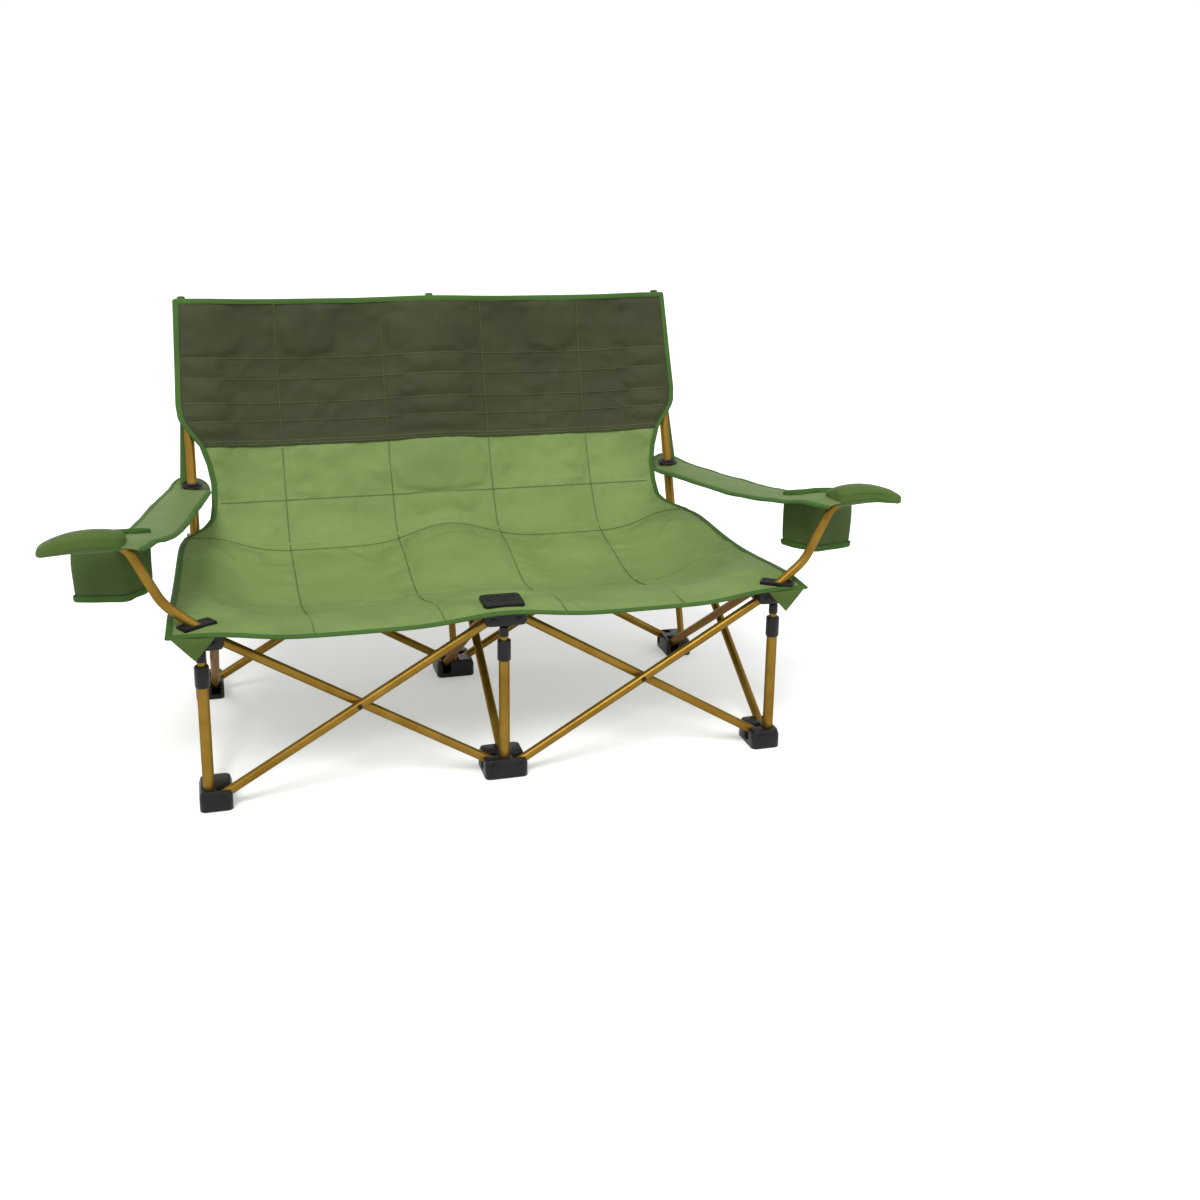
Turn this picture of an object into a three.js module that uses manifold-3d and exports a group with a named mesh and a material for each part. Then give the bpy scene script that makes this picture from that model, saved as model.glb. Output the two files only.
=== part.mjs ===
// Folding camping loveseat: a two-bay scissor frame with telescoping front posts,
// leaning rear uprights, a quilted sling and hung fabric armrests with cup pockets.
// Millimetres, +Z up. The sitter looks along -Y, and +X is the right side of a front view.

import * as THREE from 'three';
import { mergeVertices } from 'three/addons/utils/BufferGeometryUtils.js';
import Module from 'manifold-3d';

const wasm = await Module();
wasm.setup();

// Driving dimensions of the frame
const BAY = 500;                 // from post to neighbouring post, sideways
const POST_PIVOT = 22.5;         // from a post to the front or rear brace pivot beside it
const SIDE_PIVOT = 35;           // from a front post back to the side brace pivot
const RISE = 270;                // from foot pivot up to hub pivot, open
const FOOT_PIVOT_Z = 24;
const LEAN_DEG = 19.2;           // rear uprights, open
const STEM_SETBACK = -6;         // upright hinge, measured back from the rear side pivot
const REAR_PLANE_1 = 23;         // rear braces that rise to the right, behind the rear side pivot
const REAR_PLANE_2 = 40;         // rear braces that rise to the left

// Tubes, pins and running gaps
const TUBE_R = 8;
const TUBE_WALL = 1.5;
const TUBE_END = 7;              // tube left beyond its pin
const TUBE_SIDES = 10;
const PIN_R = 3;
const PIN_SIDES = 8;
const PIN_GAP = 0.4;
const FIT = 0.3;                 // gap between pieces that seat on each other
const SLOT_GAP = 0.5;            // tube to the cheek of its slot
const PLANE_SPACING = 17;        // between the two tubes of a front or rear pair
const SIDE_SPACING = 22;         // between the two tubes of a side pair
const CENTER_SIDE_X = 2.5;       // middle side pair: the tube from the front foot
const RIVET_HEAD_R = 5.5;
const RIVET_HEAD = 2;
const SPACER_R = 6;

// Feet and hubs
const FOOT_HEIGHT = 36;
const FOOT_FLOOR = 10;           // under the tube slots
const SOCKET_FLOOR = 6;          // under a front post
const BLOCK_OUTER = 16;          // post axis to the outer face of a corner block
const BLOCK_INNER = 38;          // post axis to the inner face
const BLOCK_FRONT = 24;          // post axis to the front face of a front block
const BLOCK_BACK = 52;
const REAR_BLOCK_FRONT = 24;     // rear side pivot to the front face of a rear block
const REAR_BLOCK_BACK = 56;
const BLOCK_CORNER = 9;
const BLOCK_TAPER = 3;
const HUB_BELOW = 11;            // hub pivot to the hub's underside
const HUB_ABOVE = 13;
const ROD_SEAT = 6;              // rod length held in the hub
const FORK_HALF = 16;
const FORK_BACK = 22;            // fork arms, past the upright's axis
const FORK_GAP = 0.5;

// Front telescope
const POST_R = 9.5;
const POST_WALL = 1.5;
const POST_TOP = 248;
const STAGE_R = 6.75;
const STAGE_WALL = 1.25;
const STAGE_BOTTOM = 26;
const STAGE_TOP = 262;
const ROD_R = 3;
const ROD_BOTTOM = 36;
const COLLAR_R = 12;
const COLLAR_LENGTH = 34;
const COLLAR_LIP = 3;
const STAGE_COLLAR_R = 8.2;
const STAGE_COLLAR_SKIRT = 4;
const STAGE_COLLAR_LIP = 14;
const ROUND_SIDES = 12;

// Rear uprights
const STEM_R = 7;
const STEM_WALL = 1.5;
const STEM_LENGTH = 560;
const UPRIGHT_R = 9.5;
const UPRIGHT_WALL = 2;
const UPRIGHT_START = 250;       // along the stem, from its hinge
const UPRIGHT_END = 772;
const EYELET_ALONG = 398;
const EYELET_R = 17;
const EYELET_HEIGHT = 6;

// Arm tubes, as places sideways from the middle and up
const ARM_HUB_RADIUS = 110;      // the slight bend at the hub
const ARM_LOW_BEND = new THREE.Vector2(553, 357);
const ARM_HIGH_BEND = new THREE.Vector2(604, 461);
const ARM_TIP = new THREE.Vector2(716, 468);
const ARM_LOW_RADIUS = 88;
const ARM_HIGH_RADIUS = 38;
const BEND_STEPS = 5;

// Quilted sling
const PAD = 11;
const STITCH = 4.5;              // thickness along a stitched line and at the bound edge
const STITCH_INNER_X = 105;
const STITCH_OUTER_X = 320;
const SEAT_ABOVE_HUB = 8.5;      // hub top to the middle of the padding
const SEAT_SPLIT_Y = 275;        // sewn fold line across the seat
const SEAT_MID_STITCH_Y = 160;
const SEAT_BACK_Y = 562;
const SEAT_HALF_BACK = 520;
const SEAT_HALF_FRONT = 550;
const SEAT_FRONT_Y = -34;
const SEAT_CORNER_BACK = 4;
const SEAT_SAG_EDGE = 22;        // between posts, along the front edge
const SEAT_SAG_REAR = 40;        // between posts, in front of the back
const SEAT_SAG_DEPTH = 58;       // from front hub to rear hub
const SEAT_SAG_SIDE = 15;        // the same, along the bound side edges
const SEAT_TAUT_START = 300;     // from the middle to where the sides begin to lift the seat
const SEAT_LEVEL_SHARE = 0.35;   // of the sag between posts, half way from front to rear
const SEAT_RISE_DEPTH = 50;      // length over which the seat curves up into the back
const BACK_BILLOW = 32;          // of the back, backwards between uprights
const SEAT_GAP = 1;              // at the sewn fold line
const BACK_OFF_UPRIGHT = 0.3;    // cloth to upright tube
const BACK_START = 313;          // along the upright
const BACK_EAR_HALF = 514;
const BACK_WAIST_GAP = 19;       // waist edge to the eyelet beside it
const BACK_FOOT_HALF = 500;
const BACK_FOOT_CURVE = 45;      // length over which the foot draws in to the waist
const BACK_WAIST_UNDER_EAR = 120;
const BACK_EAR_CURVE = 50;       // length over which the waist widens to the ear
const BACK_EAR_LENGTH = 242;
const BACK_LINES = [49, 107, 167, 217, 255, 299, 343];

// Black mouldings that carry the seat's front edge
const PLATE_HALF_X = 36;
const PLATE_FRONT = -10;
const PLATE_BACK = 46;
const PLATE_HEIGHT = 13;
const PATCH_BORDER = 6;
const PATCH_SIDE = 9;
const PATCH_IN = 12;             // opening, from the hub pivot towards the middle
const PATCH_OUT = 52;

// Armrests: the strip's stations run from the eyelet to the sleeve, as places sideways and up
const STRIP_HALF = 3.5;
const STRIP_REAR_GAP = 1.5;
const STRIP_WAIST_GAP = 4;       // strip to the back's waist
const STRIP_REAR_HALF_WIDTH = 36;
const STRIP_STATIONS = [
  { y: 430, x: 528, z: 411, half: 37 },
  { y: 250, x: 549, z: 428, half: 35 },
  { y: 110, x: 566, z: 452, half: 33 },
  { y: 20, x: 585, z: 472, half: 32 },
];
const SLEEVE_INNER = 594;        // the stuffed sleeve, sideways
const SLEEVE_OUTER = 729;
const SLEEVE_FRONT = -44;
const SLEEVE_BACK = 30;
const SLEEVE_TOP = 496;          // crown of the arch
const SLEEVE_HEM = 467;          // lower front edge
const SLEEVE_UNDER = 449;        // below the arm tube
const SLEEVE_ARCH_X = 648;
const SLEEVE_ARCH_RADIUS = 190;
const SLEEVE_GAP = 0.5;          // cloth to arm tube

// Cup pockets, slanted in plan because they hang between the strip and the sleeve
const POCKET_CENTER = new THREE.Vector2(630, 112);
const POCKET_ACROSS = new THREE.Vector2(45, 9);
const POCKET_ALONG = new THREE.Vector2(-22.5, 34);
const POCKET_CORNER = 0.2;       // share of a side that its corner rounds off
const POCKET_WALL = 3;
const POCKET_BOTTOM_Z = 345;
const POCKET_SWELL_Z = 400;
const POCKET_DRAW_IN = 0.1;      // share by which the bottom is smaller

// Places that follow from the driving dimensions
const SPAN = BAY - 2 * POST_PIVOT;
const HUB_PIVOT_Z = FOOT_PIVOT_Z + RISE;
const HUB_TOP = HUB_PIVOT_Z + HUB_ABOVE;
const HUB_BOTTOM = HUB_PIVOT_Z - HUB_BELOW;
const REAR_PIVOT_Y = SIDE_PIVOT + SPAN;
const LEAN = THREE.MathUtils.degToRad(LEAN_DEG);
const OPEN_ANGLE = Math.atan2(RISE, SPAN);
const BACK_WAIST_HALF = BAY - EYELET_R - BACK_WAIST_GAP;
const UP_LEAN = new THREE.Vector3(0, Math.sin(LEAN), Math.cos(LEAN));
const LEAN_FRONT = new THREE.Vector3(0, -Math.cos(LEAN), Math.sin(LEAN));
const SLOT_HALF = TUBE_R + SLOT_GAP;
const SLOT_BACK = Math.hypot(TUBE_END, TUBE_R) + SLOT_GAP;
const FAR = 400;                 // reach of a cut that leaves a block
const AXIS = { x: new THREE.Vector3(1, 0, 0), y: new THREE.Vector3(0, 1, 0), z: new THREE.Vector3(0, 0, 1) };
const SIDES = [['left', -1], ['center', 0], ['right', 1]];
const CORNERS = SIDES.filter(([, side]) => side !== 0);

// Finishes
const finish = (color, roughness, metalness = 0) => new THREE.MeshStandardMaterial({ color, roughness, metalness });
const bronze = finish(0x8a6a2c, 0.35, 0.8);
const steel = finish(0x8f8d88, 0.35, 0.9);
const black = finish(0x22211f, 0.6);
const green = finish(0x5f8a45, 0.85);
const olive = finish(0x3d4a2c, 0.85);

const loveseat = new THREE.Group();

function place(name, shape, material) {
  const geometry = shape.isBufferGeometry ? shape : toGeometry(shape);
  const mesh = new THREE.Mesh(geometry, material);
  mesh.name = name;
  loveseat.add(mesh);
}

// Solids: joins and cuts work on closed meshes with shared vertices
function toSolid(geometry) {
  const bare = new THREE.BufferGeometry();
  bare.setAttribute('position', geometry.attributes.position);
  bare.setIndex(geometry.index);
  const merged = mergeVertices(bare, 1e-4);
  return new wasm.Manifold(new wasm.Mesh({
    numProp: 3,
    vertProperties: Float32Array.from(merged.attributes.position.array),
    triVerts: Uint32Array.from(merged.index.array),
  }));
}

function toGeometry(solid) {
  const mesh = solid.getMesh();
  return meshOf(Array.from(mesh.vertProperties), Array.from(mesh.triVerts));
}

function meshOf(positions, triangles) {
  const geometry = new THREE.BufferGeometry();
  geometry.setAttribute('position', new THREE.Float32BufferAttribute(positions, 3));
  geometry.setIndex(triangles);
  geometry.computeVertexNormals();
  return geometry;
}

// A skin over rings of points, each ring anticlockwise along the way it travels
function loft(rings, endless = false) {
  const count = rings[0].length;
  const positions = rings.flat().flatMap((p) => [p.x, p.y, p.z]);
  const triangles = [];
  const bands = endless ? rings.length : rings.length - 1;
  for (let i = 0; i < bands; i += 1) {
    const low = i * count;
    const high = ((i + 1) % rings.length) * count;
    for (let j = 0; j < count; j += 1) {
      const next = (j + 1) % count;
      triangles.push(low + j, low + next, high + next, low + j, high + next, high + j);
    }
  }
  if (!endless) {
    const last = (rings.length - 1) * count;
    for (let j = 1; j < count - 1; j += 1) {
      triangles.push(0, j + 1, j, last, last + j, last + j + 1);
    }
  }
  return meshOf(positions, triangles);
}

function circle(center, across, up, radius, sides) {
  return Array.from({ length: sides }, (_, i) => {
    const turn = ((i + 0.5) * 2 * Math.PI) / sides;
    return center.clone()
      .addScaledVector(across, radius * Math.cos(turn))
      .addScaledVector(up, radius * Math.sin(turn));
  });
}

// A hollow tube along flat-plane stations; the plane's normal stays the same all the way
function pipe(stations, normal, radius, wall, sides) {
  const ring = ({ point, along }, r) => circle(point, normal.clone().cross(along), normal, r, sides);
  const outside = stations.map((station) => ring(station, radius));
  const inside = stations.map((station) => ring(station, radius - wall)).reverse();
  return loft([...outside, ...inside], true);
}

function straight(from, to, extra = 0) {
  const along = to.clone().sub(from).normalize();
  return [
    { point: from.clone().addScaledVector(along, -extra), along },
    { point: to.clone().addScaledVector(along, extra), along },
  ];
}

// Stations round one bend of a path, from the leg that comes in to the leg that goes out
function bend(before, corner, after, radius) {
  const into = corner.clone().sub(before).normalize();
  const out = after.clone().sub(corner).normalize();
  const turn = into.angleTo(out);
  const reach = radius * Math.tan(turn / 2);
  const start = corner.clone().addScaledVector(into, -reach);
  const inward = out.clone().addScaledVector(into, -Math.cos(turn)).normalize();
  return Array.from({ length: BEND_STEPS + 1 }, (_, i) => {
    const angle = (turn * i) / BEND_STEPS;
    const point = start.clone()
      .addScaledVector(into, radius * Math.sin(angle))
      .addScaledVector(inward, radius * (1 - Math.cos(angle)));
    const along = into.clone().multiplyScalar(Math.cos(angle)).addScaledVector(inward, Math.sin(angle));
    return { point, along };
  });
}

function box(x0, x1, y0, y1, z0, z1) {
  const geometry = new THREE.BoxGeometry(x1 - x0, y1 - y0, z1 - z0);
  geometry.translate((x0 + x1) / 2, (y0 + y1) / 2, (z0 + z1) / 2);
  return toSolid(geometry);
}

// A turned piece: the profile's points are [radius, distance along the axis]
function turned(profile, origin, axis, sides) {
  const geometry = new THREE.LatheGeometry(profile.map(([r, h]) => new THREE.Vector2(r, h)), sides);
  const turn = new THREE.Quaternion().setFromUnitVectors(AXIS.y, axis);
  geometry.applyQuaternion(turn);
  geometry.translate(origin.x, origin.y, origin.z);
  return geometry;
}

function rod(origin, axis, from, to, radius, sides) {
  return toSolid(turned([[0, from], [radius, from], [radius, to], [0, to]], origin, axis, sides));
}

function sleeve(origin, axis, from, to, outer, inner, sides) {
  return turned([[inner, from], [outer, from], [outer, to], [inner, to], [inner, from]], origin, axis, sides);
}

function pinHole(center, axis) {
  const radius = (PIN_R + PIN_GAP) / Math.cos(Math.PI / PIN_SIDES);
  return rod(center, axis, -2 * TUBE_R, 2 * TUBE_R, radius, PIN_SIDES);
}

// A rivet through a crossing: headed outside both tubes, with a spacer where they stand apart
function rivet(center, axis, spacing) {
  const nearHead = -TUBE_R + SLOT_GAP;
  const farFace = spacing + TUBE_R + PIN_GAP;
  const profile = [
    [0, nearHead - RIVET_HEAD], [RIVET_HEAD_R, nearHead - RIVET_HEAD], [RIVET_HEAD_R, nearHead],
    [PIN_R, nearHead], [PIN_R, TUBE_R - SLOT_GAP], [SPACER_R, TUBE_R - SLOT_GAP],
    [SPACER_R, spacing - TUBE_R - PIN_GAP], [PIN_R, spacing - TUBE_R - PIN_GAP],
    [PIN_R, farFace], [RIVET_HEAD_R, farFace], [RIVET_HEAD_R, farFace + RIVET_HEAD], [0, farFace + RIVET_HEAD],
  ];
  return toSolid(turned(profile, center, axis, PIN_SIDES));
}

// One straight scissor tube between two pivots; it either carries the crossing rivet or is drilled for it
function scissorTube(foot, hub, pinAxis, rivetReach) {
  let tube = toSolid(pipe(straight(foot, hub, TUBE_END), pinAxis, TUBE_R, TUBE_WALL, TUBE_SIDES));
  return finishScissor(tube, foot, hub, pinAxis, rivetReach);
}

function finishScissor(tube, foot, hub, pinAxis, rivetReach) {
  const crossing = foot.clone().add(hub).multiplyScalar(0.5);
  const drilled = tube.subtract(pinHole(foot, pinAxis)).subtract(pinHole(hub, pinAxis));
  if (rivetReach === 0) {
    return drilled.subtract(pinHole(crossing, pinAxis));
  }
  const axis = pinAxis.clone().multiplyScalar(Math.sign(rivetReach));
  return drilled.add(rivet(crossing, axis, Math.abs(rivetReach)));
}

// Moulded blocks: a tapered rounded body, cut by the slots its tubes turn in, with the pins across them
function roundedRing(x0, x1, y0, y1, radius, z) {
  const shape = new THREE.Shape();
  shape.absarc(x1 - radius, y1 - radius, radius, 0, Math.PI / 2);
  shape.absarc(x0 + radius, y1 - radius, radius, Math.PI / 2, Math.PI);
  shape.absarc(x0 + radius, y0 + radius, radius, Math.PI, 1.5 * Math.PI);
  shape.absarc(x1 - radius, y0 + radius, radius, 1.5 * Math.PI, 2 * Math.PI);
  return shape.getPoints(2).slice(0, -1).map((p) => new THREE.Vector3(p.x, p.y, z));
}

function block([x0, x1, y0, y1], levels) {
  return toSolid(loft(levels.map(([z, inset]) => roundedRing(
    x0 + inset, x1 - inset, y0 + inset, y1 - inset, BLOCK_CORNER, z,
  ))));
}

const footLevels = [[0, 1], [2, 0], [FOOT_HEIGHT - 10, 0], [FOOT_HEIGHT, BLOCK_TAPER]];
const hubLevels = [[HUB_BOTTOM, BLOCK_TAPER], [HUB_BOTTOM + 8, 0], [HUB_TOP, 0]];

// The slot of a tube that leaves its block sideways (axis y) or along the chair (axis x)
function slot(pivot, pinAxis, leaves, z0, z1) {
  const near = SLOT_BACK;
  if (pinAxis === AXIS.y) {
    const x0 = leaves > 0 ? pivot.x - near : pivot.x - FAR;
    const x1 = leaves > 0 ? pivot.x + FAR : pivot.x + near;
    return box(x0, x1, pivot.y - SLOT_HALF, pivot.y + SLOT_HALF, z0, z1);
  }
  const y0 = leaves > 0 ? pivot.y - near : pivot.y - FAR;
  const y1 = leaves > 0 ? pivot.y + FAR : pivot.y + near;
  return box(pivot.x - SLOT_HALF, pivot.x + SLOT_HALF, y0, y1, z0, z1);
}

function withPin(solid, pivot, axis, half = SLOT_HALF) {
  const grip = 2.5;
  return solid.add(rod(pivot, axis, -half - grip, half + grip, PIN_R, PIN_SIDES));
}

function withTubes(solid, sockets, z0, z1) {
  const open = sockets.reduce((body, s) => body.subtract(slot(s.pivot, s.axis, s.leaves, z0, z1)), solid);
  return sockets.reduce((body, s) => withPin(body, s.pivot, s.axis), open);
}

// Pivots of every scissor tube. A front or rear pair crosses in two planes, one behind the other.
const at = (x, y, z) => new THREE.Vector3(x, y, z);
const postX = (side) => side * BAY;
const frontY = (risesRight) => (risesRight ? -PLANE_SPACING / 2 : PLANE_SPACING / 2);
const rearY = (risesRight) => REAR_PIVOT_Y + (risesRight ? REAR_PLANE_1 : REAR_PLANE_2);
const sideFrontX = (side) => (side === 0 ? CENTER_SIDE_X : postX(side));
const sideRearX = (side) => (side === 0 ? CENTER_SIDE_X - SIDE_SPACING : postX(side) - side * SIDE_SPACING);
const besidePost = (side, towards) => postX(side) + towards * POST_PIVOT;

// A bay's brace from the corner foot up to the centre hub, and its partner from the centre foot
// up to the corner hub; in front the partner carries on upwards as the arm tube
function bayPivots(side, planeY) {
  const rises = side < 0;
  return {
    outerFoot: at(besidePost(side, -side), planeY(rises), FOOT_PIVOT_Z),
    centerHub: at(besidePost(0, side), planeY(rises), HUB_PIVOT_Z),
    centerFoot: at(besidePost(0, side), planeY(!rises), FOOT_PIVOT_Z),
    outerHub: at(besidePost(side, -side), planeY(!rises), HUB_PIVOT_Z),
  };
}

function sidePivots(side) {
  return {
    frontFoot: at(sideFrontX(side), SIDE_PIVOT, FOOT_PIVOT_Z),
    rearHub: at(sideFrontX(side), REAR_PIVOT_Y, HUB_PIVOT_Z),
    rearFoot: at(sideRearX(side), REAR_PIVOT_Y, FOOT_PIVOT_Z),
    frontHub: at(sideRearX(side), SIDE_PIVOT, HUB_PIVOT_Z),
  };
}

// Sockets that a foot or hub needs at one post of the front or rear row
function rowSockets(side, planeY, outer, center) {
  if (side !== 0) {
    return [{ pivot: bayPivots(side, planeY)[outer], axis: AXIS.y, leaves: -side }];
  }
  return [-1, 1].map((bay) => ({ pivot: bayPivots(bay, planeY)[center], axis: AXIS.y, leaves: bay }));
}

// Front row: feet, telescoping posts and hubs
function blockSides(side) {
  const left = side < 0 ? BLOCK_OUTER : BLOCK_INNER;
  const right = side > 0 ? BLOCK_OUTER : BLOCK_INNER;
  return [postX(side) - left, postX(side) + right];
}

function frontFoot(side) {
  const body = block([...blockSides(side), -BLOCK_FRONT, BLOCK_BACK], footLevels);
  const sockets = [
    ...rowSockets(side, frontY, 'outerFoot', 'centerFoot'),
    { pivot: sidePivots(side).frontFoot, axis: AXIS.x, leaves: 1 },
  ];
  const postHole = rod(at(postX(side), 0, 0), AXIS.z, SOCKET_FLOOR, FOOT_HEIGHT + 1, POST_R + FIT, ROUND_SIDES);
  return withTubes(body.subtract(postHole), sockets, FOOT_FLOOR, FOOT_HEIGHT + 1);
}

// The arm tube passes up and out through its hub, so that slot is open above and on the outside too
function armPassage(side) {
  const pivot = bayPivots(side, frontY).outerHub;
  const shelf = pivot.z + SLOT_BACK * Math.tan(OPEN_ANGLE) - (TUBE_R + SLOT_GAP) / Math.cos(OPEN_ANGLE) - FIT;
  const outer = pivot.x + side * FAR;
  const inner = pivot.x - side * SLOT_BACK;
  const y0 = pivot.y - SLOT_HALF;
  const y1 = pivot.y + SLOT_HALF;
  return box(Math.min(outer, inner), Math.max(outer, inner), y0, y1, shelf, HUB_TOP + 1);
}

function frontHub(side) {
  let body = block([...blockSides(side), -BLOCK_FRONT, BLOCK_BACK], hubLevels);
  if (side !== 0) {
    body = body.subtract(armPassage(side));
  }
  const sockets = [
    ...rowSockets(side, frontY, 'outerHub', 'centerHub'),
    { pivot: sidePivots(side).frontHub, axis: AXIS.x, leaves: 1 },
  ];
  const rodHole = rod(at(postX(side), 0, 0), AXIS.z, HUB_BOTTOM - 1, HUB_BOTTOM + ROD_SEAT, ROD_R + FIT, ROUND_SIDES);
  return withTubes(body.subtract(rodHole), sockets, HUB_BOTTOM - 1, HUB_PIVOT_Z + SLOT_BACK);
}

function frontPost(label, side) {
  const foot = at(postX(side), 0, 0);
  place(`post_front_${label}`,
    sleeve(foot, AXIS.z, SOCKET_FLOOR + FIT, POST_TOP, POST_R, POST_R - POST_WALL, ROUND_SIDES), bronze);
  const grip = POST_R + FIT;
  const guide = STAGE_R + FIT;
  const collarTop = POST_TOP + FIT;
  place(`post_collar_front_${label}`, turned([
    [grip, POST_TOP - COLLAR_LENGTH], [COLLAR_R - 1, POST_TOP - COLLAR_LENGTH],
    [COLLAR_R, POST_TOP - COLLAR_LENGTH + 2], [COLLAR_R, collarTop + COLLAR_LIP - 1.5],
    [COLLAR_R - 1.5, collarTop + COLLAR_LIP], [guide, collarTop + COLLAR_LIP], [guide, collarTop],
    [grip, collarTop], [grip, POST_TOP - COLLAR_LENGTH],
  ], foot, AXIS.z, ROUND_SIDES), black);
  place(`post_stage_front_${label}`,
    sleeve(foot, AXIS.z, STAGE_BOTTOM, STAGE_TOP, STAGE_R, STAGE_R - STAGE_WALL, ROUND_SIDES), bronze);
  const rodGuide = ROD_R + FIT;
  const stageGrip = STAGE_R + FIT;
  const lipTop = STAGE_TOP + FIT + STAGE_COLLAR_LIP;
  place(`stage_collar_front_${label}`, turned([
    [stageGrip, STAGE_TOP - STAGE_COLLAR_SKIRT], [STAGE_COLLAR_R, STAGE_TOP - STAGE_COLLAR_SKIRT],
    [STAGE_COLLAR_R, lipTop - 1.5], [STAGE_COLLAR_R - 1.5, lipTop], [rodGuide, lipTop],
    [rodGuide, STAGE_TOP + FIT], [stageGrip, STAGE_TOP + FIT], [stageGrip, STAGE_TOP - STAGE_COLLAR_SKIRT],
  ], foot, AXIS.z, ROUND_SIDES), black);
  place(`post_rod_front_${label}`,
    rod(foot, AXIS.z, ROD_BOTTOM, HUB_BOTTOM + ROD_SEAT - FIT, ROD_R, ROUND_SIDES), steel);
}

// Rear row: feet, forked hubs and leaning uprights
function rearFoot(side) {
  const x = postX(side);
  const hinge = at(x, REAR_PIVOT_Y + STEM_SETBACK, FOOT_PIVOT_Z);
  const body = block(
    [...blockSides(side), REAR_PIVOT_Y - REAR_BLOCK_FRONT, REAR_PIVOT_Y + REAR_BLOCK_BACK], footLevels);
  const stemHalf = STEM_R + SLOT_GAP;
  const front = hinge.y - Math.hypot(STEM_R, TUBE_END) - SLOT_GAP;
  const back = hinge.y + (FOOT_HEIGHT - FOOT_PIVOT_Z) * Math.tan(LEAN) + STEM_R / Math.cos(LEAN) + 2;
  const stemSlot = box(x - stemHalf, x + stemHalf, front, back, FOOT_FLOOR, FOOT_HEIGHT + 1);
  const sockets = [
    ...rowSockets(side, rearY, 'outerFoot', 'centerFoot'),
    { pivot: sidePivots(side).rearFoot, axis: AXIS.x, leaves: -1 },
  ];
  return withPin(withTubes(body.subtract(stemSlot), sockets, FOOT_FLOOR, FOOT_HEIGHT + 1), hinge, AXIS.x, stemHalf);
}

function uprightAt(side, along) {
  return at(postX(side), REAR_PIVOT_Y + STEM_SETBACK, FOOT_PIVOT_Z).addScaledVector(UP_LEAN, along);
}

function rearHub(side) {
  const x = postX(side);
  const along = RISE / Math.cos(LEAN);
  const axisY = uprightAt(side, along).y;
  const throat = axisY - HUB_BELOW * Math.tan(LEAN) - UPRIGHT_R / Math.cos(LEAN) - FORK_GAP;
  const main = block(
    [...blockSides(side), REAR_PIVOT_Y - REAR_BLOCK_FRONT, REAR_PIVOT_Y + REAR_BLOCK_BACK], hubLevels);
  const forkStart = REAR_PIVOT_Y + REAR_BLOCK_BACK - 2 * BLOCK_CORNER;
  const fork = block([x - FORK_HALF, x + FORK_HALF, forkStart, axisY + FORK_BACK], hubLevels);
  const gap = UPRIGHT_R + FORK_GAP;
  const forkSlot = box(x - gap, x + gap, throat, axisY + FAR, HUB_BOTTOM - 1, HUB_TOP + 1);
  const sockets = [
    ...rowSockets(side, rearY, 'outerHub', 'centerHub'),
    { pivot: sidePivots(side).rearHub, axis: AXIS.x, leaves: -1 },
  ];
  return withTubes(main.add(fork).subtract(forkSlot), sockets, HUB_BOTTOM - 1, HUB_PIVOT_Z + SLOT_BACK);
}

function upright(label, side) {
  const hinge = uprightAt(side, 0);
  const stem = pipe(straight(uprightAt(side, -TUBE_END), uprightAt(side, STEM_LENGTH)),
    AXIS.x, STEM_R, STEM_WALL, ROUND_SIDES);
  place(`upright_stem_${label}`, toSolid(stem).subtract(pinHole(hinge, AXIS.x)), bronze);
  place(`upright_tube_${label}`, pipe(straight(uprightAt(side, UPRIGHT_START), uprightAt(side, UPRIGHT_END)),
    AXIS.x, UPRIGHT_R, UPRIGHT_WALL, ROUND_SIDES), bronze);
}

// Scissor tubes
function armStations(side, extra = 0) {
  const { centerFoot, outerHub } = bayPivots(side, frontY);
  const along = outerHub.clone().sub(centerFoot).normalize();
  const inPlane = (p) => at(side * p.x, outerHub.y, p.y);
  const low = inPlane(ARM_LOW_BEND);
  const high = inPlane(ARM_HIGH_BEND);
  const tip = inPlane(ARM_TIP);
  const out = tip.clone().sub(high).normalize();
  return [
    { point: centerFoot.clone().addScaledVector(along, -TUBE_END), along },
    ...bend(centerFoot, outerHub, low, ARM_HUB_RADIUS),
    ...bend(outerHub, low, high, ARM_LOW_RADIUS),
    ...bend(low, high, tip, ARM_HIGH_RADIUS),
    { point: tip.clone().addScaledVector(out, extra), along: out },
  ];
}

function armTube(side) {
  const { centerFoot, outerHub } = bayPivots(side, frontY);
  const tube = toSolid(pipe(armStations(side), AXIS.y, TUBE_R, TUBE_WALL, TUBE_SIDES));
  const rivetReach = side > 0 ? PLANE_SPACING : 0;
  return finishScissor(tube, centerFoot, outerHub, AXIS.y, rivetReach);
}

function frontBrace(side) {
  const { outerFoot, centerHub } = bayPivots(side, frontY);
  return scissorTube(outerFoot, centerHub, AXIS.y, side < 0 ? PLANE_SPACING : 0);
}

function rearBrace(side, fromCorner) {
  const { outerFoot, centerHub, centerFoot, outerHub } = bayPivots(side, rearY);
  const risesRight = (side < 0) === fromCorner;
  const reach = risesRight ? REAR_PLANE_2 - REAR_PLANE_1 : 0;
  return fromCorner
    ? scissorTube(outerFoot, centerHub, AXIS.y, reach)
    : scissorTube(centerFoot, outerHub, AXIS.y, reach);
}

function sideBrace(side, fromFront) {
  const { frontFoot: low, rearHub: high, rearFoot: rearLow, frontHub: frontHigh } = sidePivots(side);
  const reach = sideRearX(side) - sideFrontX(side);
  return fromFront
    ? scissorTube(low, high, AXIS.x, reach)
    : scissorTube(rearLow, frontHigh, AXIS.x, 0);
}

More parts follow.
